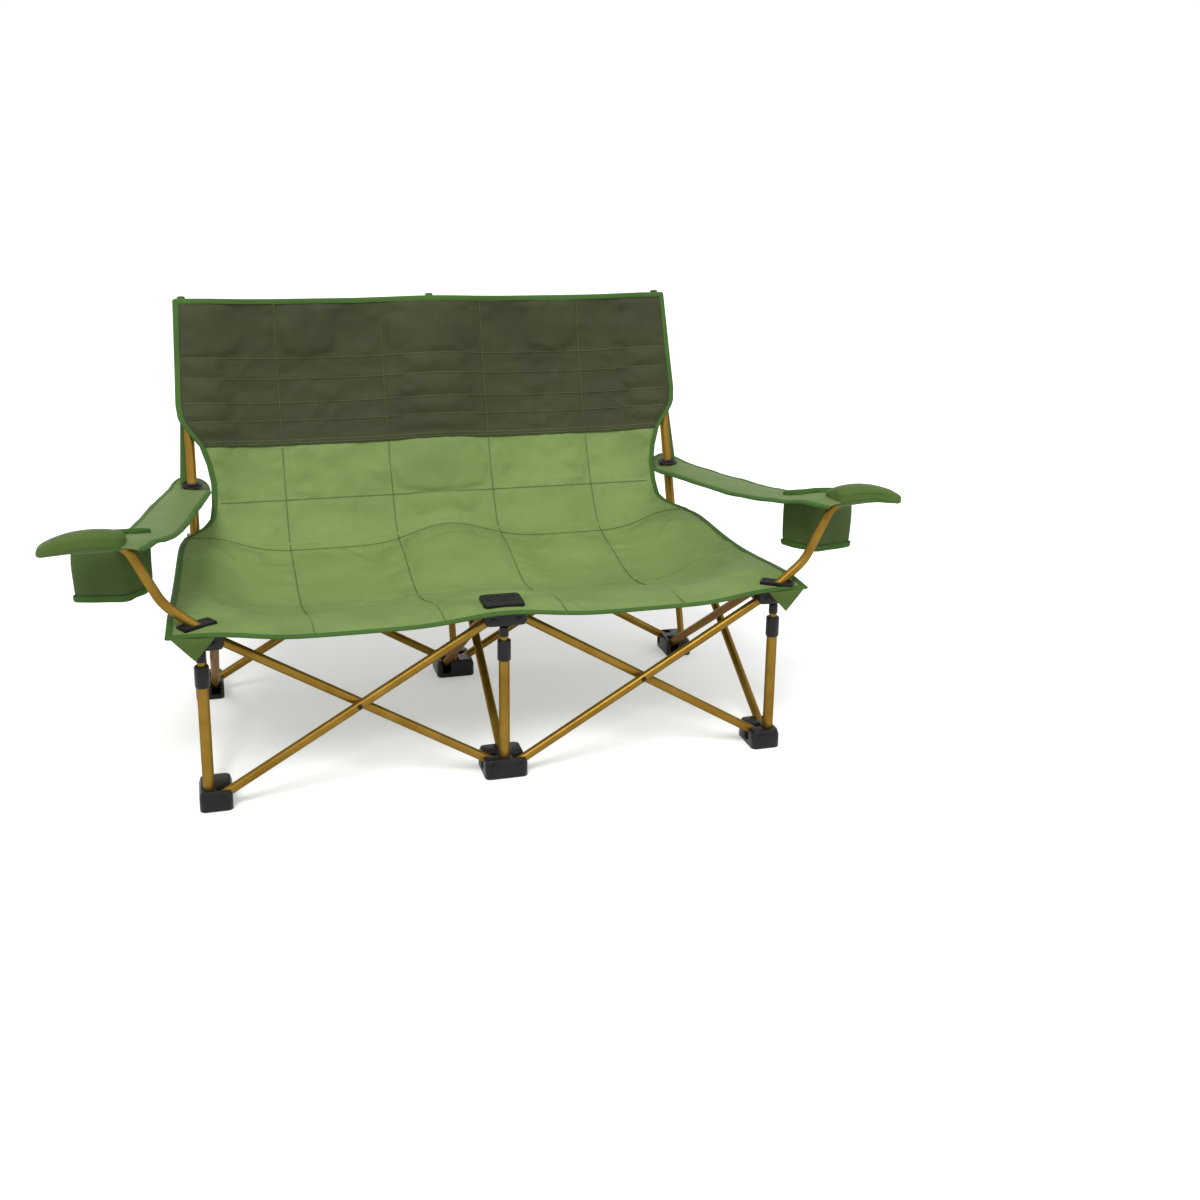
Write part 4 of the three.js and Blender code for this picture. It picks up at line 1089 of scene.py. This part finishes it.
def armrest_strip(label, side):
    def place(i, j):
        across = -1 + 2 * i / (STRIP_COLUMNS - 1)
        return strip_point(side, j / (STRIP_ROWS - 1), across)
    strip = laid_grid(f"armrest_strip_{label}", STRIP_COLUMNS, STRIP_ROWS, place, STRIP_THICK)
    subdivide(strip)
    return strip


# %% [markdown]
# Tape binds the strip's two edges and its round rear end. It is the same hook, laid along the whole outline.

# %% Strip tape
STRIP_HOOK = [(0.82, 2.0), (0.92, 2.7), (1.0, 2.3), (1.04, 0), (1.0, -2.3), (0.92, -2.7), (0.82, -2.0)]
TAPE_STEPS, STRIP_TAPE_THICK = 60, 0.8


def strip_tape(label, side):
    def place(i, j):
        share = abs(TAPE_STEPS - j) / TAPE_STEPS
        edge = 1 if j >= TAPE_STEPS else -1
        across, lift = STRIP_HOOK[i]
        return strip_point(side, share, edge * across, lift)
    return laid_grid(f"strip_tape_{label}", len(STRIP_HOOK), 2 * TAPE_STEPS + 1, place, STRIP_TAPE_THICK)


# %% [markdown]
# The cup pocket hangs between strip and sleeve: a bag whose section is a slanted box with round corners,
# a little fuller half way down. One sheet is laid round the box and closed at the bottom. A band goes round
# its base, and a hem round its mouth, which stands up most towards the sleeve.

# %% Cup pocket
POCKET_CENTER = (630, 112)
POCKET_ACROSS, POCKET_ALONG = (45, 9), (-22.5, 34)
POCKET_TOP, POCKET_BOTTOM, POCKET_SLOPE = 448, 345, -0.171
POCKET_RIPPLE, POCKET_RIPPLE_XY, POCKET_RIPPLE_Z = 4, 30, 45
POCKET_SIDES, POCKET_THICK, POCKET_SMOOTH = 48, 1.8, 50
BOX_POWER = 6
RING_JOIN = 0.05
POCKET_ROWS = [(0.0, 0.0), (0.0, 0.35), (0.0, 0.7), (0.005, 0.92), (0.04, 0.97), (0.2, 1.0), (0.4, 1.02),
               (0.6, 1.03), (0.8, 1.01), (0.92, 1.0), (1.0, 0.98)]
BASE_BAND = [(0.0, 0.95), (0.005, 1.0), (0.06, 1.025), (0.1, 1.02)]
RIM_BAND = [(0.9, 1.025, 0), (0.97, 1.035, 3), (1.0, 1.02, 7), (1.0, 0.98, 8), (0.97, 0.95, 3),
            (0.9, 0.94, 0)]
BASE_THICK, RIM_THICK = 0.9, 0.8
RIM_LEAST, RIM_MORE, RIM_HIGHEST = 0.7, 0.6, math.radians(250)


def box_round(angle):
    """A point of a rounded box outline, by angle, with sides one unit from the middle."""
    c, s = math.cos(angle), math.sin(angle)
    size = (abs(c) ** BOX_POWER + abs(s) ** BOX_POWER) ** (-1 / BOX_POWER)
    return c * size, s * size


def pocket_point(side, angle, height, size, lift):
    across, along = (v * size for v in box_round(angle))
    x = POCKET_CENTER[0] + POCKET_ACROSS[0] * across + POCKET_ALONG[0] * along
    y = POCKET_CENTER[1] + POCKET_ACROSS[1] * across + POCKET_ALONG[1] * along
    top = POCKET_TOP + POCKET_SLOPE * (y - POCKET_CENTER[1])
    z = POCKET_BOTTOM + (top - POCKET_BOTTOM) * height + lift
    here = Vector((x / POCKET_RIPPLE_XY, y / POCKET_RIPPLE_XY, z / POCKET_RIPPLE_Z))
    ripple = POCKET_RIPPLE * noise.noise(here) * size
    return spot(side * (x + ripple), y + ripple, z)


def pocket_ring(name, side, rows, thickness=0):
    """Cloth laid round the pocket in rows, each with its height, its size and perhaps a lift."""
    def place(i, j):
        angle = 2 * math.pi * i / POCKET_SIDES
        height, size, *lift = rows[j]
        stand = RIM_LEAST + RIM_MORE * max(0, math.cos(angle - RIM_HIGHEST))
        return pocket_point(side, angle, height, size, sum(lift) * stand)
    return heal(laid_grid(name, POCKET_SIDES + 1, len(rows), place, thickness), RING_JOIN)


def cup_pocket(label, side):
    bag = pocket_ring(f"pocket_bag_{label}", side, POCKET_ROWS)
    modify(bag, "SOLIDIFY", thickness=POCKET_THICK * MM, offset=-1)
    subdivide(bag)
    smooth(POCKET_SMOOTH)
    return bag


# %% [markdown]
# The sleeve is a stuffed board, arched along its length and thinner at its tip. A subdivided cube is rounded
# into shape: its front hangs as a hem before the tube, its top is crowned, and its underside clears the tube.
# Cloth pressure then fills it.

# %% Stuffed sleeve
SLEEVE_INNER, SLEEVE_OUTER = 601, 729
SLEEVE_FRONT, SLEEVE_BACK = -43, 34
SLEEVE_TOP, SLEEVE_HEM, SLEEVE_UNDER = 495, 469, 451
SLEEVE_POWER, SLEEVE_CUTS = 5, 15
ARCH_CENTER, ARCH_RADIUS, HEM_ARCH = 648, 190, 0.9
CROWN_FALL, TUBE_SLOPE, TIP_TAPER = 16, 0.06, 0.25
HEM_PINNED = 12
SLEEVE_PRESSURE, SLEEVE_CAP = 0.4, 1.5


def sleeve_shape(side, a, b, c):
    size = max(abs(a), abs(b), abs(c), 1e-6)
    around = sum(abs(v) ** SLEEVE_POWER for v in (a, b, c)) ** (1 / SLEEVE_POWER)
    a, b, c = (v * size / around for v in (a, b, c))
    x = (SLEEVE_INNER + SLEEVE_OUTER) / 2 + a * (SLEEVE_OUTER - SLEEVE_INNER) / 2
    y = (SLEEVE_FRONT + SLEEVE_BACK) / 2 + b * (SLEEVE_BACK - SLEEVE_FRONT) / 2
    fall = ARCH_RADIUS - math.sqrt(ARCH_RADIUS ** 2 - (x - ARCH_CENTER) ** 2)
    back_share = (b + 1) / 2
    top = SLEEVE_TOP - fall - CROWN_FALL * back_share ** 2
    hem = SLEEVE_HEM - HEM_ARCH * fall
    below_tube = min(hem, SLEEVE_UNDER + TUBE_SLOPE * (x - ARM_HIGH_BEND[0]))
    under = hem + (below_tube - hem) * math.sin(math.pi * back_share)
    thin = 1 - TIP_TAPER * max(0, a) ** 4
    z = (top + under) / 2 + c * (top - under) / 2 * thin
    return spot(side * x, y, z)


def stuffed_sleeve(label, side):
    clear_selection()
    bpy.ops.mesh.primitive_cube_add(size=2)
    sleeve = named(f"armrest_sleeve_{label}")
    edit_all(sleeve)
    bpy.ops.mesh.subdivide(number_cuts=SLEEVE_CUTS)
    leave_edit()
    for vertex in sleeve.data.vertices:
        vertex.co = sleeve_shape(side, *vertex.co)
    pinned = sleeve.vertex_groups.new(name="stitched")
    hem = [v.index for v in sleeve.data.vertices if v.co.y < spot(0, SLEEVE_FRONT + HEM_PINNED, 0).y]
    pinned.add(hem, 1.0, "REPLACE")
    return puff(heal(sleeve, RING_JOIN), SLEEVE_PRESSURE, SLEEVE_CAP)


# %% [markdown]
# Two cords of piping run along the sleeve's front, where its cloths are sewn together. Each is a grid laid
# round in a thin tube, along the same shape as the sleeve, so that it follows the arch.

# %% Piping
PIPING_R, PIPING_STEPS, PIPING_SIDES = 2.6, 34, 8
PIPING_REACH, PIPING_FRONT = 0.97, -0.93
PIPING_LEVELS = {"high": 0.3, "low": -0.75}


def sleeve_piping(name, side, level):
    """A cord of tape along the sleeve's front, at one height of its face."""
    def place(i, j):
        a = -PIPING_REACH + 2 * PIPING_REACH * j / PIPING_STEPS
        here = sleeve_shape(side, a, PIPING_FRONT, level)
        angle = 2 * math.pi * i / PIPING_SIDES
        return here + Vector((0, math.cos(angle), math.sin(angle))) * PIPING_R * MM
    return heal(laid_grid(name, PIPING_SIDES + 1, PIPING_STEPS + 1, place), RING_JOIN)


# %% [markdown]
# The pieces of each armrest are now made and put on the arm that carries them. The pocket is one
# sheet, as wide as the bag is round and as long as its height and half its bottom.

# %% Armrests together
for label, side in CORNERS.items():
    body = f"arm_{SHORT[label]}"
    strip = armrest_strip(label, side)
    fold_backward(dress(strip, body, FERN, "cloth_green", f"armrest_{label}"))
    sleeve = stuffed_sleeve(label, side)
    dress(sleeve, body, MOSS, "cloth_green", f"armrest_{label}")
    bag = cup_pocket(label, side)
    # The pocket's darker green is partly painted shade from the sleeve above it.
    fold_backward(dress(bag, body, PINE_AND_SHADE, "cloth_green", f"cup_pocket_{label}"))
    trims = [strip_tape(label, side), pocket_ring(f"pocket_band_{label}", side, BASE_BAND, BASE_THICK),
             pocket_ring(f"pocket_rim_{label}", side, RIM_BAND, RIM_THICK)]
    for trim in trims:
        fold_backward(dress(trim, body, TAPE, "cloth_green"))
    for name, level in PIPING_LEVELS.items():
        dress(sleeve_piping(f"piping_{name}_{label}", side, level), body, TAPE, "cloth_green")
    print("armrest", label, "with sleeve, pocket and", len(trims), "trims")


# %% [markdown]
# ## Small cloth
# A gusset hangs below each front corner: a triangle of cloth, cut on the bias, with a soft fold. A strap
# ties each ear of the back to the rear end of its armrest, behind the upright. A short cloth pocket
# holds the back to the top of each upright.

# %% Gussets
GUSSET_OUTER, GUSSET_INNER = Vector((547, -31, 314)), Vector((476, -31, 309))
GUSSET_TIP, GUSSET_POINT = Vector((508, -38, 273)), 0.97
GUSSET_STEPS, GUSSET_FOLD, GUSSET_THICK = 10, 10, 1.4


def gusset(label, side):
    def place(i, j):
        down, across = j / GUSSET_STEPS, i / GUSSET_STEPS
        here = GUSSET_INNER.lerp(GUSSET_OUTER, across).lerp(GUSSET_TIP, down * GUSSET_POINT)
        bow = math.sin(math.pi * across) * (1 - down) * math.sin(math.pi * (0.2 + 0.8 * down))
        return spot(side * here.x, here.y - GUSSET_FOLD * bow, here.z)
    flap = laid_grid(f"gusset_{label}", GUSSET_STEPS + 1, GUSSET_STEPS + 1, place, GUSSET_THICK)
    fold_sideways(dress(flap, "seat_front", MOSS, "cloth_green"))


# %% [markdown]
# Straps and upright pockets follow the line of their uprights, so that they slide with them.

# %% Straps and upright pockets
STRAP_HALF, STRAP_STEPS, STRAP_BEHIND = 10, 12, 13
STRAP_TOP, STRAP_LOW = 580, 402
STRAP_OUT, STRAP_SLANT, STRAP_TAPER = 3, 13, 0.3
SMALL_CLOTH_THICK = 1.2


def strap(label, side):
    def place(i, j):
        share = j / STRAP_STEPS
        here = along_upright(side, STRAP_TOP + (STRAP_LOW - STRAP_TOP) * share, -STRAP_BEHIND)
        across = STRAP_HALF * (i - 1) * (1 - STRAP_TAPER * share)
        here.x += side * (STRAP_OUT + STRAP_SLANT * share + across) * MM
        return here
    band = laid_grid(f"strap_{label}", 3, STRAP_STEPS + 1, place, SMALL_CLOTH_THICK)
    dress(band, f"upright_{SHORT[label]}", TAPE, "cloth_green")


TOP_POCKET_LOW, TOP_POCKET_HIGH = 690, 774
TOP_POCKET_R, TOP_POCKET_WIDER = 11.2, 1.15
TOP_POCKET_STEPS, TOP_POCKET_ROWS = 16, 8
TOP_POCKET_START, TOP_POCKET_SWEEP = -0.28, 1.56


def top_pocket(label, side):
    """Cloth that goes round the back of an upright, from one face of the quilt to the other."""
    def place(i, j):
        angle = math.pi * (TOP_POCKET_START + TOP_POCKET_SWEEP * i / TOP_POCKET_STEPS)
        along = TOP_POCKET_LOW + (TOP_POCKET_HIGH - TOP_POCKET_LOW) * j / TOP_POCKET_ROWS
        here = along_upright(side, along, -TOP_POCKET_R * math.sin(angle))
        here.x += TOP_POCKET_R * math.cos(angle) * TOP_POCKET_WIDER * MM
        return here
    cover = laid_grid(f"top_pocket_{label}", TOP_POCKET_STEPS + 1, TOP_POCKET_ROWS + 1, place,
                      SMALL_CLOTH_THICK)
    dress(cover, f"upright_{SHORT[label]}", OLIVE, "cloth_olive")


for label, side in SIDES.items():
    top_pocket(label, side)
for label, side in CORNERS.items():
    gusset(label, side)
    strap(label, side)
print("gussets, straps and upright pockets made")


# %% [markdown]
# Last come small things. The tip of each upright is covered with tape: a short tube that is a little wider,
# with its edges bevelled round.

# %% Caps
CAP_R, CAP_WALL, CAP_ROUND, CAP_SHARP = 11, 3, 4, 50
CAP_BELOW, CAP_ABOVE = 10, 2
for label, side in SIDES.items():
    low, high = (along_upright(side, UPRIGHT_END + reach) for reach in (-CAP_BELOW, CAP_ABOVE))
    cap = straight_tube(f"cap_{label}", low, high, CAP_R, CAP_WALL)
    round_edges(cap, CAP_ROUND, 4, CAP_SHARP)
    dress(cap, f"upright_{SHORT[label]}", TAPE, "cloth_green")
    print(cap.name, "with", len(cap.data.polygons), "faces")


# %% [markdown]
# Two raised oval rings lie on the centre plate, and a flange goes round each eyelet, where the upright comes
# through the armrest. All of them are torus primitives, scaled flat, because a torus is round all over
# with no further work.

# %% Rings and flanges
def flat_ring(name, place, major, minor, scale, tilt=0):
    clear_selection()
    bpy.ops.mesh.primitive_torus_add(major_radius=major * MM, minor_radius=minor * MM, major_segments=40,
                                     minor_segments=10, location=place, rotation=(math.radians(tilt), 0, 0))
    bpy.context.object.scale = scale
    ring = fresh(name)
    bpy.ops.object.shade_smooth()
    return ring


PLATE_LOW, PLATE_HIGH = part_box("seat_plate_center")
PLATE_TOP = Vector(((PLATE_LOW.x + PLATE_HIGH.x) / 2, (PLATE_LOW.y + PLATE_HIGH.y) / 2, PLATE_HIGH.z))
PLATE_OVAL = (1.15, 0.8, 0.8)
for name, major, minor in (("plate_ring_outer", 21, 1.5), ("plate_ring_inner", 11, 1.8)):
    dress(flat_ring(name, PLATE_TOP, major, minor, PLATE_OVAL), "hub_fc", BLACK, "moulded_black")

EYELET_RING, EYELET_THICK, EYELET_TILT = 15.5, 6, 9
EYELET_RISE, EYELET_FLAT = Vector((0, 0, 2 * MM)), (1, 1, 0.4)
for label in CORNERS:
    low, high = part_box(f"arm_eyelet_{label}")
    place = (low + high) / 2 + EYELET_RISE
    flange = flat_ring(f"eyelet_flange_{label}", place, EYELET_RING, EYELET_THICK, EYELET_FLAT, EYELET_TILT)
    dress(flange, f"upright_{SHORT[label]}", BLACK, "moulded_black")
    print(flange.name, "at", [round(c, 4) for c in place])


# %% [markdown]
# The arm tube passes through the corner patch, and woven black cloth fills what room it leaves there. A
# small grid, bulged in the middle, lies inside the patch's rim and is turned with it.

# %% Patch filling
FILLING_STEPS, FILLING_INSET, FILLING_THICK = 8, 5 * MM, 2
FILLING_SUNK, FILLING_BULGE = 2.5, 2


def patch_filling(label, side):
    low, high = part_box(f"seat_patch_{label}")

    def place(i, j):
        across, along = i / FILLING_STEPS, j / FILLING_STEPS
        bulge = math.sin(math.pi * across) * math.sin(math.pi * along)
        x = low.x + FILLING_INSET + (high.x - low.x - 2 * FILLING_INSET) * across
        y = low.y + FILLING_INSET + (high.y - low.y - 2 * FILLING_INSET) * along
        z = high.z - (FILLING_SUNK - FILLING_BULGE * bulge) * MM
        return turned_patch(Vector((x, y, z)), label, side)
    filling = laid_grid(f"patch_filling_{label}", FILLING_STEPS + 1, FILLING_STEPS + 1, place, FILLING_THICK)
    dress(filling, f"hub_f{SHORT[label]}", WEBBING, "moulded_black")


for label, side in CORNERS.items():
    patch_filling(label, side)
print("corner patches filled")


# %% [markdown]
# ## Studio
# A pale floor takes the shadow. For the camera, and in what metal mirrors, it glows a little, so that it
# runs into the white background as in a catalogue picture.

# %% Floor and sky
WHITE = (1, 1, 1, 1)
FLOOR_SIZE, FLOOR_GREY, FLOOR_GLOW = 60, (0.7, 0.7, 0.7, 1), 0.33
SKY_FILL = 0.5


def seen_rays(tree):
    """One for camera, mirrored and transmitted rays, nought for the light that falls on the object."""
    rays = add_node(tree, "LightPath", {}).outputs
    total = rays["Is Camera Ray"]
    for name in ("Is Glossy Ray", "Is Transmission Ray"):
        larger = add_node(tree, "Math", {0: total, 1: rays[name]})
        larger.operation = "MAXIMUM"
        total = larger.outputs["Value"]
    return total


clear_selection()
bpy.ops.mesh.primitive_plane_add(size=FLOOR_SIZE, location=(0, 0, 0))
floor = named("studio_floor")
floor_material, floor_tree, floor_shader = start_material("studio_floor")
floor_seen = seen_rays(floor_tree)
floor_tone = floor_tree.nodes.new("ShaderNodeMix")
floor_tone.data_type = "RGBA"
feed(floor_tree, floor_tone, {"A": FLOOR_GREY, "B": WHITE, "Factor": floor_seen})
feed(floor_tree, floor_shader, {
    "Base Color": floor_tone.outputs["Result"],
    "Emission Strength": value_range(floor_tree, floor_seen, 0.0, FLOOR_GLOW),
    "Emission Color": WHITE,
    "Roughness": 1,
    "Specular IOR Level": 0})
floor.data.materials.append(floor_material)
world = bpy.data.worlds.new("studio")
bpy.context.scene.world = world
world.use_nodes = True
sky = world.node_tree
sky_level = value_range(sky, seen_rays(sky), SKY_FILL, 1.0)
feed(sky, sky.nodes["Background"], {"Color": WHITE, "Strength": sky_level})


# %% [markdown]
# Two soft suns light floor and cloth evenly, near and far, and the plain sky fills the shadows. The
# camera stands where the photographer did.

# %% Light and camera
def soft_sun(name, rise, turn, power, spread_angle):
    """A sun: rise above the floor and turn from straight ahead, in degrees, and the width of its disc."""
    clear_selection()
    bpy.ops.object.light_add(type="SUN", location=(0, 0, 3),
                             rotation=(math.radians(90 - rise), 0, math.radians(turn)))
    light = bpy.context.object
    light.name = name
    light.data.energy = power
    light.data.angle = math.radians(spread_angle)
    return light


key_light = soft_sun("key_light", 52, -28, 1.7, 24)
fill_light = soft_sun("fill_light", 40, 40, 0.5, 50)
CAMERA_SPOT = (-484.127, -2236.8, 1101.5)
CAMERA_TURN = (74.858, -1.154, -17.131)
bpy.ops.object.camera_add(location=spot(*CAMERA_SPOT), rotation=[math.radians(a) for a in CAMERA_TURN])
camera = bpy.context.object
set_all(camera.data, {"sensor_width": 36, "lens": 42.19, "shift_x": -0.0233, "shift_y": -0.0742})
bpy.context.scene.camera = camera
bpy.context.scene.view_settings.view_transform = "Standard"
